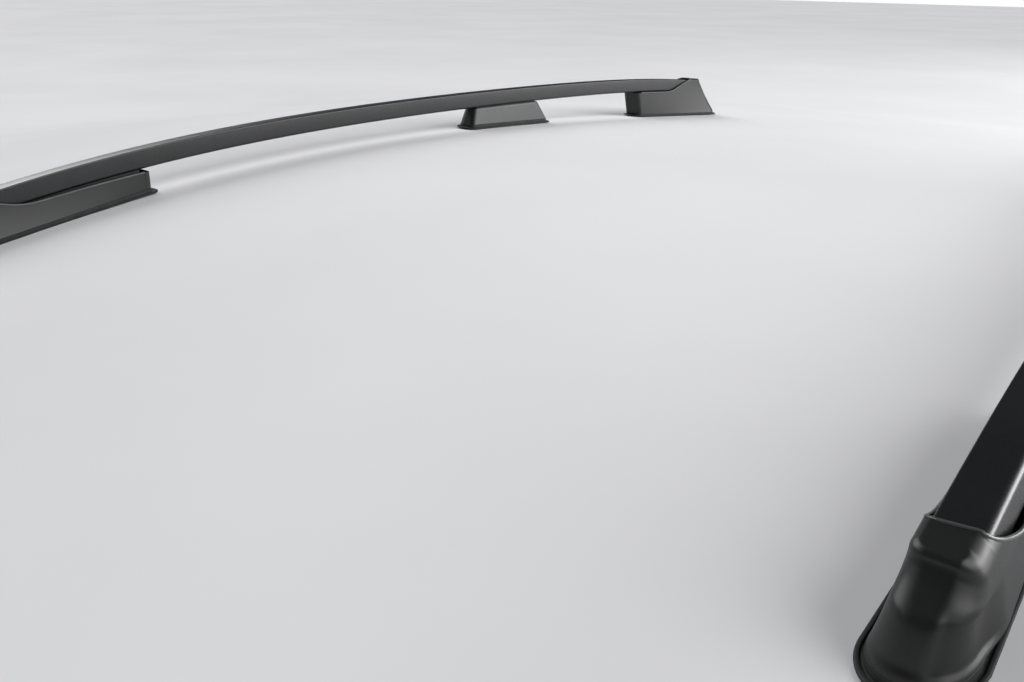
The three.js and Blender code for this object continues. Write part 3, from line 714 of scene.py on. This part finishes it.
# the cover's open skin and the line of its seam
def coverSkin(f):
    tailV = splitV(f, 1, foot["splitGap"] / 2)
    noseIn = planCircles(f, 1)[3]
    joinV = onCircle(noseIn, touchAngle(noseIn, planCircles(f, 1)[0]))[1]
    startV, endV = f["length"] - f["seamStart"], f["length"] - f["seamEnd"]
    marks = (tailV, startV, endV, joinV)
    places = [tailV]
    for a, b, gap in zip(marks, marks[1:], foot["columnGaps"]):
        count = max(2, math.ceil((b - a) / gap))
        places += [mix(a, b, k / count) for k in range(1, count + 1)]
        if b == endV:
            seamIndex = len(places) - 1
    shares = [(v - tailV) / (joinV - tailV) for v in places]
    arcSteps, across = foot["arcSteps"], foot["across"]
    arc = [k / arcSteps for k in range(1, arcSteps + 1)]
    columns = [("in", t) for t in shares] + [("inArc", t) for t in arc]
    columns += [("front", k / across) for k in range(1, across)]
    columns += [("outArc", 1 - t) for t in reversed(arc)] + [("out", 1 - t) for t in reversed(shares)]
    low, wallRows, edgeRows = foot["roundShare"], foot["wallRows"], foot["edgeRows"]
    rowShares = [k / wallRows * low for k in range(wallRows + 1)]
    rowShares += [low + (1 - low) * k / edgeRows for k in range(1, edgeRows + 1)]
    vertices, seam = [], {"in": [], "out": []}
    inwards = foot["wall"] / 2 - foot["beadOut"]
    seamEnds = (("in", shares[seamIndex]), ("out", 1 - shares[seamIndex]))
    for column in columns:
        limit = seamShare(f, column)
        vertices += [coverPoint(f, column, p * limit)[0] for p in rowShares]
        if limit < 1 or column in seamEnds:
            point, out = coverPoint(f, column, limit)
            seam[column[0]].append([point[k] - out[k] * inwards for k in range(3)])
    rows = len(rowShares)
    faces = gridFaces(len(columns), rows)
    # the top, as strips from the inner columns to the outer ones
    tops = vertices[rows - 1::rows]
    pairs = range(seamIndex, len(shares) + len(arc))
    start = len(vertices)
    for i in pairs:
        a, b = tops[i], tops[-1 - i]
        middle = []
        for k in range(1, across):
            u, y = mix(a[0], b[0], k / across), mix(a[1], b[1], k / across)
            middle.append((u, y, topAt(f, u, y)))
        if i == pairs[-1]:   # the last strip ends on the front columns' own tops
            middle = tops[i + 1:i + across]
        vertices += [a] + middle + [b]
    faces += gridFaces(len(pairs), across + 1, start=start)
    over = [[u, y, z - inwards] for u, y, z in vertices[start + 1:start + across]]
    return vertices, faces, seam["in"] + over + seam["out"]


# moves each point of an open line towards its neighbours a few times
def easedLine(points, times):
    for _ in range(times):
        points = [points[0]] + [
            [(points[i - 1][k] + 2 * points[i][k] + points[i + 1][k]) / 4 for k in range(3)]
            for i in range(1, len(points) - 1)] + [points[-1]]
    return points


# a round bead swept along a line of vertices
def beadTree():
    tree, given = newTree("seamBead", {"Radius": "Float", "Spacing": "Float", "Sides": "Int"})
    line = addNode(tree, "GeometryNodeMeshToCurve", links={"Mesh": given["Geometry"]})
    even = addNode(tree, "GeometryNodeResampleCurve",
                   links={"Curve": line.outputs[0], "Length": given["Spacing"]}, mode="LENGTH")
    ring = addNode(tree, "GeometryNodeCurvePrimitiveCircle",
                   links={"Radius": given["Radius"], "Resolution": given["Sides"]})
    swept = addNode(tree, "GeometryNodeCurveToMesh", {"Fill Caps": True},
                    {"Curve": even.outputs[0], "Profile Curve": ring.outputs[0]})
    return endTree(tree, swept.outputs[0], given)


# the tail wall: an open skin round the two tail corners, up to the wedge under the bar
def tailSkin(f):
    steps, backSteps, rows = foot["tailCornerSteps"], foot["tailBackSteps"], foot["tailRows"]
    columns = [("side", 0, 0.0), ("side", 0, 1.0)]
    columns += [("arc", 0, k / steps) for k in range(1, steps + 1)]
    columns += [("back", 0, k / backSteps) for k in range(1, backSteps)]
    columns += [("arc", 1, k / steps) for k in range(steps + 1)]
    columns += [("side", 1, 0.0), ("side", 1, 1.0)]

    def at(column, s):
        circles = planCircles(f, s)
        where, hand, t = column
        backAngle = touchAngle(circles[0], circles[1])
        sideAngle = touchAngle(circles[3 - 2 * hand], circles[2 * hand])
        circle = circles[hand]
        if where == "arc":
            start, end = (sideAngle, backAngle) if hand == 0 else (backAngle, sideAngle)
            while end < start:
                end += 2 * math.pi
            return onCircle(circle, mix(start, end, t))
        if where == "back":
            a, b = onCircle(circles[0], backAngle), onCircle(circles[1], backAngle)
            return mix(a[0], b[0], t), mix(a[1], b[1], t)
        touch, nose = onCircle(circle, sideAngle), onCircle(circles[3 - hand], sideAngle)
        cutV = splitV(f, s, -foot["splitGap"] / 2)
        split = (mix(touch[0], nose[0], (cutV - touch[1]) / (nose[1] - touch[1])), cutV)
        a, b = (split, touch) if hand == 0 else (touch, split)
        return mix(a[0], b[0], t), mix(a[1], b[1], t)

    def point(column, s):
        u, v = at(column, s)
        y = fromTail(f, v)
        base = coverBase(f, y)
        return u, y, base + s * (topAt(f, u, y) - base)

    def below(column, s):
        _, y, z = point(column, s)
        return z < archHeight(y) - wedgeAt(f, y)

    vertices = []
    for column in columns:
        limit = lastTrue(lambda s: below(column, s), 0.0, 1.0)
        vertices += [point(column, limit * r / (rows - 1)) for r in range(rows)]
    return vertices, gridFaces(len(columns), rows)


# true when an open skin's faces look away from the middle of the foot
def looksOut(vertices, faces, centre):
    total = 0.0
    for face in faces:
        a, b, c = (Vector(vertices[i]) for i in face[:3])
        total += (b - a).cross(c - a).dot((a + b + c) / 3 - Vector(centre))
    return total > 0


# an open skin made a piece with a wall
def shellPiece(name, skin, side, wall, material, centre):
    vertices, faces = skin
    world = [placed(p, side) for p in vertices]
    turned = not looksOut(world, faces, placed(centre, side))
    piece = makePiece(name, world, faces, material, flip=turned)
    thicken(piece, wall)
    return piece


pad = {
    # [spread, height] round the lip, the groove and the shoulder, up to the face's edge
    "profile": [(5.6, 0.0), (6.3, 0.25), (6.5, 0.8), (6.45, 1.5), (6.1, 2.0), (5.5, 2.3),
                (4.4, 2.4), (3.5, 2.3), (3.1, 1.9), (2.9, 1.2), (2.5, 0.95), (1.3, 0.95),
                (0.8, 1.2), (0.6, 2.0)],
    "lip": 6.5,                # the widest spread above
    "faceEdge": (0.45, 0.1),   # spread below and above the face's chamfer
    "faceChamfer": 0.3,
    "recessChamfer": 0.2,
    "recessFloor": 2.0,        # above the underside
    "plateHalfWidth": 16.0,    # of the bracket's plate, which lies in the recess
    "plateRadius": 5.0,
    "endSteps": 16, "middleSteps": 10,
    "sharpAngle": 35,
}


# outline rings of a pad, from its underside round the lip to the recess for the bracket's plate
def padRings(outline, under, thickness, plate):
    (wide, narrow), gap, chamfer = pad["faceEdge"], foot["touchGap"], pad["recessChamfer"]
    stack = [(outline(spread), height) for spread, height in pad["profile"]]
    stack += [(outline(wide), thickness - pad["faceChamfer"]), (outline(narrow), thickness),
              (plate(gap + chamfer), thickness), (plate(gap), thickness - chamfer),
              (plate(gap), pad["recessFloor"])]
    return [[(u, y, under(y) + height) for u, y in ring] for ring, height in stack]


def platePlan(a, b, spread, steps):
    half = pad["plateHalfWidth"] + spread
    return roundBox(middleU - half, a - spread, middleU + half, b + spread,
                    [pad["plateRadius"] + spread] * 4, steps)


# how much further than elsewhere a pad's lip spreads at its tail
def tailExtra(spread, tailLip):
    return (tailLip - pad["lip"]) * spread / pad["lip"]


def endPad(f):
    def outline(spread):
        points = []
        for u, v in roundOutline(planCircles(f, 0, spread), pad["endSteps"]):
            extra = tailExtra(spread, f["padTailLip"]) * max(0.0, 1 - v / f["noseRadiusInner"])
            points.append((tapered(f, 0, u, v), fromTail(f, v - extra)))
        return points

    # in the same order as the outline, from the same corner
    def plate(spread):
        tail = f["tailLean"] + f["tailRadius"] + foot["plateMargin"]
        nose = f["length"] - f["noseRadiusInner"] - foot["wall"]
        return [(u, fromTail(f, v)) for u, v in platePlan(tail, nose, spread, pad["endSteps"])]

    return padRings(outline, lambda y: padUnder(f, y), f["padThickness"], plate)


bead = beadTree()
for sideName, side in sides.items():
    for placeName, f in (("front", frontFoot), ("rear", rearFoot)):
        prefix = sideName + "_" + placeName
        centre = (middleU, fromTail(f, f["length"] / 2), 40.0)   # a point inside the foot
        vertices, faces, path = coverSkin(f)
        cover = shellPiece(prefix + "_cap", (vertices, faces), side, foot["wall"], mouldedAsa, centre)
        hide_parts(prefix + "_cover")
        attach(cover, prefix + "_cover")
        line = [placed(p, side) for p in easedLine(path, foot["beadEasing"])]
        lip = bpy.data.objects.new(prefix + "_cap_bead", bpy.data.meshes.new(prefix + "_cap_bead"))
        lip.data.from_pydata(line, [(i, i + 1) for i in range(len(line) - 1)], [])
        bpy.context.scene.collection.objects.link(lip)
        # the bead takes the paler moulding, a painted highlight along the collar's lip
        bakeTree(lip, bead, {"Radius": foot["beadRadius"] * mm, "Spacing": foot["beadSpacing"] * mm,
                             "Sides": foot["beadSides"], "Material": beadPaintedHighlightAsa})
        faceOutwards(lip)
        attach(lip, prefix + "_cover")
        wall = shellPiece(prefix + "_tail_wall", tailSkin(f), side, foot["wall"], mouldedAsa, centre)
        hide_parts(prefix + "_end_plate")
        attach(wall, "rack")
        gasket = ringPiece(prefix + "_gasket", endPad(f), side, epdmRubber, pad["sharpAngle"])
        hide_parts(prefix + "_pad")
        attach(gasket, "rack")
    print(sideName, "end feet made")


middleFoot = {
    "frontY": 40.0, "length": 221.0,
    "padFront": 66.2, "padRear": 57.6, "padThickness": 7.0, "padTailLip": 8.0,
    "frontLean": 11.0, "rearLean": 28.0, "flare": 5.0,
    "cornerRadius": 9.0, "outerFrontRadius": 20.0, "leastRadius": 1.0,
    "barGap": 1.6,
    "topEdge": 1.0,            # rounding of the rim under the bar
    "leanTop": 2.0,            # the lean is reckoned up to this far above the crown
    "studInset": 62.0,
    "cornerSteps": 12, "sideSteps": 16, "rows": 12, "edgeSteps": 2,
}


def middleUnder(y):
    m = middleFoot
    return m["padFront"] + (y - m["frontY"]) * (m["padRear"] - m["padFront"]) / m["length"]


def middleOutline(s, inset):
    m = middleFoot
    r, big = max(m["cornerRadius"] - inset, m["leastRadius"]), m["outerFrontRadius"] - inset
    spread = m["flare"] * (1 - s) - inset
    y0 = m["frontY"] + m["frontLean"] * s + inset
    y1 = m["frontY"] + m["length"] - m["rearLean"] * s - inset
    steps, sideSteps = m["cornerSteps"], m["sideSteps"]
    points = roundBox(-spread, y0, rail["width"] + spread, y1, (r, big, r, r), steps)
    # side points between the corners, so that the rim can follow the bar
    full = []
    for i, p in enumerate(points):
        full.append(p)
        q = points[(i + 1) % len(points)]
        if (i + 1) % (steps + 1) == 0:
            full += [(mix(p[0], q[0], k / sideSteps), mix(p[1], q[1], k / sideSteps))
                     for k in range(1, sideSteps)]
    return full


# point on a column of the middle cover at a share of the lean's height
def middlePoint(column, s, inset=0.0):
    u, y = middleOutline(s, inset)[column]
    base = middleUnder(y) + middleFoot["padThickness"] + foot["touchGap"]
    return u, y, base + s * (rail["crownHeight"] + middleFoot["leanTop"] - base)


def middleSkin():
    m = middleFoot
    count = len(middleOutline(0, 0))

    def below(column, s):
        _, y, z = middlePoint(column, s)
        return z < archHeight(y) - m["barGap"] - m["topEdge"]

    limits = [lastTrue(lambda s: below(column, s), 0.0, 1.2, 30) for column in range(count)]
    vertices = []
    total = m["rows"] + m["edgeSteps"] + 1
    for r in range(total):
        share = min(1.0, r / m["rows"])
        angle = max(0, r - m["rows"]) / m["edgeSteps"] * math.pi / 2
        roll, rise = m["topEdge"] * (1 - math.cos(angle)), m["topEdge"] * math.sin(angle)
        for column, limit in enumerate(limits):
            u, y, z = middlePoint(column, limit * share, roll)
            vertices.append((u, y, z + rise))
    return vertices, gridFaces(total, count, closed=True)


def middlePad():
    m = middleFoot
    front, rear = m["frontY"], m["frontY"] + m["length"]

    def outline(spread):
        r, big = m["cornerRadius"] + spread, m["outerFrontRadius"] + spread
        out = m["flare"] + spread
        end = spread + tailExtra(spread, m["padTailLip"])
        return roundBox(-out, front - end, rail["width"] + out, rear + end, (r, big, r, r),
                        pad["middleSteps"])

    def plate(spread):
        margin = foot["wall"] + foot["plateMargin"]
        return platePlan(front + margin, rear - margin, spread, pad["middleSteps"])

    return padRings(outline, middleUnder, m["padThickness"], plate)


for sideName, side in sides.items():
    prefix = sideName + "_middle"
    centre = (middleU, middleFoot["frontY"] + middleFoot["length"] / 2, 85.0)   # a point inside
    shroud = shellPiece(prefix + "_shroud", middleSkin(), side, foot["wall"], mouldedAsa, centre)
    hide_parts(prefix + "_cover")
    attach(shroud, "rack")
    gasket = ringPiece(prefix + "_gasket", middlePad(), side, epdmRubber, pad["sharpAngle"])
    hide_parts(prefix + "_pad")
    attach(gasket, "rack")
print("middle feet made")


fixing = {
    "studRadius": 4.0, "studBelow": 22.0, "headFlats": 13.0, "headHeight": 5.0, "plateTop": 7.6,
    "pitch": 1.25, "threadRoot": 0.62, "threadCrest": 0.05,   # both below the nominal radius
    "nutHeight": 7.0, "flangeRadius": 8.5, "flangeHeight": 2.0, "roofGrip": 3.0,
    "screwRadius": 3.0, "screwHead": 5.2, "screwHeadHeight": 4.0, "socketFlats": 4.0,
    "socketDepth": 1.9, "screwFromEnd": {"front": 30.0, "rear": 24.0},
    "seat": 4.0, "channelNut": 6.0,
    "cornerCut": 0.97,         # a hexagon's flat face, as a share of its flats
    "cornerFall": 0.58,        # slope of the chamfer on its corners
    "edge": 0.3,               # small broken edges
    "segments": 36,
    "sharpAngle": 30,
}
flats, edge = fixing["headFlats"], fixing["edge"]
studRadius, screwRadius = fixing["studRadius"], fixing["screwRadius"]
onAxis = 0.001                 # radius of the tiny ring that closes a solid on its axis


# a turned solid from [radius, height] rings; either may also be a function of the angle
def turnedRings(profile):
    n = fixing["segments"]
    vertices = []
    for ring in profile:
        for k in range(n):
            a = 2 * math.pi * k / n
            r, h = (part(a) if callable(part) else part for part in ring)
            vertices.append(Vector((r * math.cos(a), r * math.sin(a), h)) * mm)
    return vertices, gridFaces(len(profile), n, closed=True)


# distance from the axis to a hexagon's edge
def hexagon(across):
    return lambda a: across / 2 / math.cos((a + math.pi / 6) % (math.pi / 3) - math.pi / 6)


# the drop of the head's corners where the chamfer meets them
def chamfered(height, sign):
    full = hexagon(flats)
    flat = flats / 2 * fixing["cornerCut"]
    return lambda a: height - sign * (full(a) - flat) * fixing["cornerFall"]


# thread from just past its chamfered tip
def threadRings(radius, low, high):
    rings = [(radius - edge / 2, low + 0.8)]
    for k in range(1, int((high - low) / fixing["pitch"])):
        z = low + k * fixing["pitch"]
        rings += [(radius - fixing["threadRoot"], z),
                  (radius - fixing["threadCrest"], z + fixing["pitch"] / 2)]
    return rings


# tip, thread, washer face, hexagon head and the dish in its top
def studSolid():
    low, seat = -fixing["studBelow"], fixing["plateTop"]
    top, flat = seat + fixing["headHeight"], flats / 2 * fixing["cornerCut"]
    return turnedRings(
        [(onAxis, low), (studRadius - 0.9, low)] + threadRings(studRadius, low, seat - 4)
        + [(studRadius, seat - 3.5), (studRadius, seat - 0.2), (flats * 0.46, seat),
           (flats * 0.46, seat + edge), (hexagon(flats), seat + 0.35),
           (hexagon(flats), chamfered(top, 1)), (flat, top), (flats * 0.3, top),
           (flats * 0.27, top - 0.5), (onAxis, top - 0.5)])


# bore, flange and hexagon, back round to the bore
def nutSolid():
    top = -fixing["roofGrip"]
    low, flat = top - fixing["nutHeight"], flats / 2 * fixing["cornerCut"]
    bore, flange = studRadius + foot["touchGap"], fixing["flangeRadius"]
    return turnedRings(
        [(bore, top - 2 * edge), (bore + 2 * edge, top), (flange - edge, top), (flange, top - edge),
         (flange, top - 1.2), (flats * 0.62, top - fixing["flangeHeight"]),
         (hexagon(flats), top - 2.4), (hexagon(flats), chamfered(low, -1)), (flat, low),
         (bore + 2 * edge, low), (bore, low + 2 * edge), (bore, top - 2 * edge)])


# hexagon socket, round head, thread and tip, with the seat's underside at height 0
def screwSolid():
    head, low, gap = fixing["screwHead"], -fixing["screwHeadHeight"], foot["touchGap"]
    tip = gap + fixing["seat"] + 1 + rail["wall"] + fixing["channelNut"] + 1.3
    socket, floor = hexagon(fixing["socketFlats"]), low + fixing["socketDepth"]
    return turnedRings(
        [(onAxis, floor), (socket, floor), (socket, low), (head - 0.7, low),
         (head - 0.2, low + edge), (head, low + 3 * edge), (head, -gap - 0.2),
         (head - 0.2, -gap), (screwRadius, -gap)] + threadRings(screwRadius, 1.0, tip - 1.5)
        + [(screwRadius - 0.2, tip - 1), (screwRadius - 1, tip), (onAxis, tip)])


# copies a solid to each point, turned by the point's own angles
def fixingTree():
    tree, given = newTree("fixingsOnPoints", {"Fixing": "Object", "Size": "Float"})
    points = addNode(tree, "GeometryNodeMeshToPoints", links={"Mesh": given["Geometry"]})
    solid = addNode(tree, "GeometryNodeObjectInfo", links={"Object": given["Fixing"]})
    turn = addNode(tree, "GeometryNodeInputNamedAttribute", {"Name": "turn"}, data_type="FLOAT_VECTOR")
    angle = addNode(tree, "FunctionNodeEulerToRotation", links={0: turn.outputs[0]})
    copies = addNode(tree, "GeometryNodeInstanceOnPoints",
                     links={"Points": points.outputs[0], "Instance": solid.outputs["Geometry"],
                            "Rotation": angle.outputs[0], "Scale": given["Size"]})
    return endTree(tree, copies.outputs[0], given)


def middleStuds():
    m = middleFoot
    return [m["frontY"] + m["studInset"], m["frontY"] + m["length"] - m["studInset"]]


# where studs stand: point on the pad's underside and lean, for each stud of one rail
def studPlaces():
    places = []
    for placeName, f in (("front", frontFoot), ("rear", rearFoot)):
        for i, v in enumerate(f["studs"]):
            y = fromTail(f, v)
            places.append((placeName, i + 1, (middleU, y, padUnder(f, y)), math.atan(padSlope(f))))
    lean = math.atan((middleFoot["padRear"] - middleFoot["padFront"]) / middleFoot["length"])
    for i, y in enumerate(middleStuds()):
        places.append(("middle", i + 1, (middleU, y, middleUnder(y)), lean))
    return places


# under the seats: the seat's slope leaves the screw's head a little lower
def screwPlaces():
    inset = fixing["screwFromEnd"]
    middle = middleFoot["frontY"] + middleFoot["length"] / 2
    ys = {"front": rail["frontEnd"] + inset["front"], "middle": middle,
          "rear": rail["rearEnd"] - inset["rear"]}
    return [(name, (middleU, y, archHeight(y) - foot["touchGap"] - fixing["seat"]
                    - abs(archSlope(y)) * fixing["screwHead"])) for name, y in ys.items()]


# one piece of all the copies of a solid, standing for their nodes
def instanced(name, solid, points, turns, nodes):
    template = makePiece(name + "_template", *solid, zincPlate, fixing["sharpAngle"])
    faceOutwards(template)
    piece = bpy.data.objects.new(name, bpy.data.meshes.new(name))
    piece.data.from_pydata(points, [], [])
    attribute = piece.data.attributes.new("turn", "FLOAT_VECTOR", "POINT")
    for i, turn in enumerate(turns):
        attribute.data[i].vector = turn
    bpy.context.scene.collection.objects.link(piece)
    bakeTree(piece, fixings, {"Fixing": template, "Size": 1.0, "Material": zincPlate})
    bpy.data.objects.remove(template)
    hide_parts(*nodes)
    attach(piece, "rack")


fixings = fixingTree()
for kind, solid in (("roof_stud", studSolid()), ("roof_nut", nutSolid())):
    points, turns, nodes = [], [], []
    for sideName, side in sides.items():
        for placeName, number, point, lean in studPlaces():
            points.append(placed(point, side))
            turns.append((lean, 0.0, side * toe))
            nodes.append(f"{sideName}_{placeName}_{kind}_{number}")
    instanced(kind + "s", solid, points, turns, nodes)

points, turns, nodes = [], [], []
for sideName, side in sides.items():
    for placeName, point in screwPlaces():
        points.append(placed(point, side))
        turns.append((0.0, 0.0, side * toe))
        nodes.append(f"{sideName}_{placeName}_bar_screw")
instanced("bar_screws", screwSolid(), points, turns, nodes)
print("fixings placed")


# the brackets and the channel nuts keep their own shape
for name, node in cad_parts.items():
    if node.hide_render:
        continue
    finish = castAluminium if name.endswith("bracket") else zincPlate
    node.data.materials.clear()
    node.data.materials.append(finish)
print("brackets and channel nuts finished")


floorShape = {
    "reachX": 14000.0, "reachY": 16000.0,
    "fineX": 2400.0, "fineY": 2700.0,     # the even grid in the middle
    "fineCells": 90, "outerCells": 20,
    "lowest": -75.0,                      # the level floor far from the rails
    "rise": (67.0, -17.0, -50.6, 19.4),   # the swell under the pads, by power of y / half length
    "frontStop": -920.0, "rearStop": 930.0,
    "endFrom": 420.0, "endOver": 900.0,   # where it runs out past the stops
    "sideFrom": 760.0, "sideOver": 1500.0,
    "clear": 2.0,                         # the pads bridge the swell by this much at most
}


def swell(y):
    return sum(k * (y / rail["halfLength"]) ** n for n, k in enumerate(floorShape["rise"]))


# height of the floor: a broad low swell under the rails that runs out level all round
def floorHeight(x, y):
    shape, lowest = floorShape, floorShape["lowest"]
    inside = min(max(y, shape["frontStop"]), shape["rearStop"])
    slope = (swell(inside + 1) - swell(inside - 1)) / 2
    line = swell(inside) + slope * (y - inside)
    spread = smooth((abs(y - inside) - shape["endFrom"]) / shape["endOver"])
    out = smooth((abs(x) - shape["sideFrom"]) / shape["sideOver"])
    return mix(max(mix(line, lowest, spread), lowest), lowest, out) - shape["clear"]


# grid lines: even in the middle, then wider and wider
def floorPlaces(reach, fine):
    cells, outerCells = floorShape["fineCells"], floorShape["outerCells"]
    inner = [-fine + 2 * fine * k / cells for k in range(cells + 1)]
    outer = [mix(fine, reach, (k / outerCells) ** 2) for k in range(1, outerCells + 1)]
    return [-p for p in reversed(outer)] + inner + outer


xs = floorPlaces(floorShape["reachX"], floorShape["fineX"])
ys = floorPlaces(floorShape["reachY"], floorShape["fineY"])
vertices = [Vector((x, y, floorHeight(x, y))) * mm for y in ys for x in xs]
floor = makePiece("floor", vertices, gridFaces(len(ys), len(xs)), paleFloor, 60)

# soft lights: [name, size across and up in metres, place, aimed at, strength in watts]
softLights = [
    ("sideSoftbox", (4.2, 1.7), (3.3, 3.1, 1.05), (0.0, -0.1, 0.1), 190.0),
    ("frontFill", (3.0, 2.0), (-2.6, -3.6, 2.6), (0.0, 0.0, 0.1), 14.0),
]
for name, size, place, aim, strength in softLights:
    data = bpy.data.lights.new(name, "AREA")
    data.shape = "RECTANGLE"
    data.size, data.size_y = size
    data.energy = strength
    light = bpy.data.objects.new(name, data)
    light.location = place
    light.rotation_euler = (Vector(aim) - Vector(place)).to_track_quat("-Z", "Y").to_euler()
    light.visible_camera = False
    bpy.context.scene.collection.objects.link(light)

# two wide suns from the sides, so that the tops and the front noses stay dark
suns = {"strength": 2.1, "width": 50, "across": 0.8, "forwards": 0.1, "down": 0.6}
for name, side in (("leftSun", 1), ("rightSun", -1)):
    sunData = bpy.data.lights.new(name, "SUN")
    sunData.energy = suns["strength"]
    sunData.angle = math.radians(suns["width"])
    sun = bpy.data.objects.new(name, sunData)
    aim = Vector((-side * suns["across"], -suns["forwards"], -suns["down"]))
    sun.rotation_euler = aim.to_track_quat("-Z", "Y").to_euler()
    bpy.context.scene.collection.objects.link(sun)

# a dim, faintly blue room, with a white backdrop past the floor's edge
studio = {"roomColour": (0.9, 0.94, 1.0, 1), "roomStrength": 0.07, "backdropColour": (1, 1, 1, 1),
          "backdropStrength": 1.0}
world = bpy.data.worlds.new("studio")
world.use_nodes = True
tree = world.node_tree
tree.nodes.clear()
room = addNode(tree, "ShaderNodeBackground",
               {"Color": studio["roomColour"], "Strength": studio["roomStrength"]})
backdrop = addNode(tree, "ShaderNodeBackground",
                   {"Color": studio["backdropColour"], "Strength": studio["backdropStrength"]})
path = addNode(tree, "ShaderNodeLightPath")
both = addNode(tree, "ShaderNodeMixShader",
               links={0: path.outputs["Is Camera Ray"], 1: room.outputs[0], 2: backdrop.outputs[0]})
addNode(tree, "ShaderNodeOutputWorld", links={0: both.outputs[0]})
bpy.context.scene.world = world
bpy.context.scene.view_settings.view_transform = "Standard"

view = {
    "place": (698.8, -1356.5, 345.4),
    "turn": 0.687,      # from straight back, towards the right-hand rail
    "down": 0.362,
    "roll": 0.012,
    "lens": 34.27,
    "sensor": 36.0,
    "nearest": 0.02, "furthest": 60,
}
ahead = Vector((-math.sin(view["turn"]) * math.cos(view["down"]),
                math.cos(view["turn"]) * math.cos(view["down"]), -math.sin(view["down"])))
across = Vector((math.cos(view["turn"]), math.sin(view["turn"]), 0))
upward = across.cross(ahead)
tiltedAcross = across * math.cos(view["roll"]) + upward * math.sin(view["roll"])
tiltedUp = tiltedAcross.cross(ahead)
cameraData = bpy.data.cameras.new("camera")
cameraData.lens = view["lens"]
cameraData.sensor_width = view["sensor"]
cameraData.clip_start, cameraData.clip_end = view["nearest"], view["furthest"]
camera = bpy.data.objects.new("camera", cameraData)
turnMatrix = Matrix((tiltedAcross, tiltedUp, -ahead)).transposed().to_4x4()
camera.matrix_world = Matrix.Translation(Vector(view["place"]) * mm) @ turnMatrix
bpy.context.scene.collection.objects.link(camera)
bpy.context.scene.camera = camera
print("floor, lights and camera set")
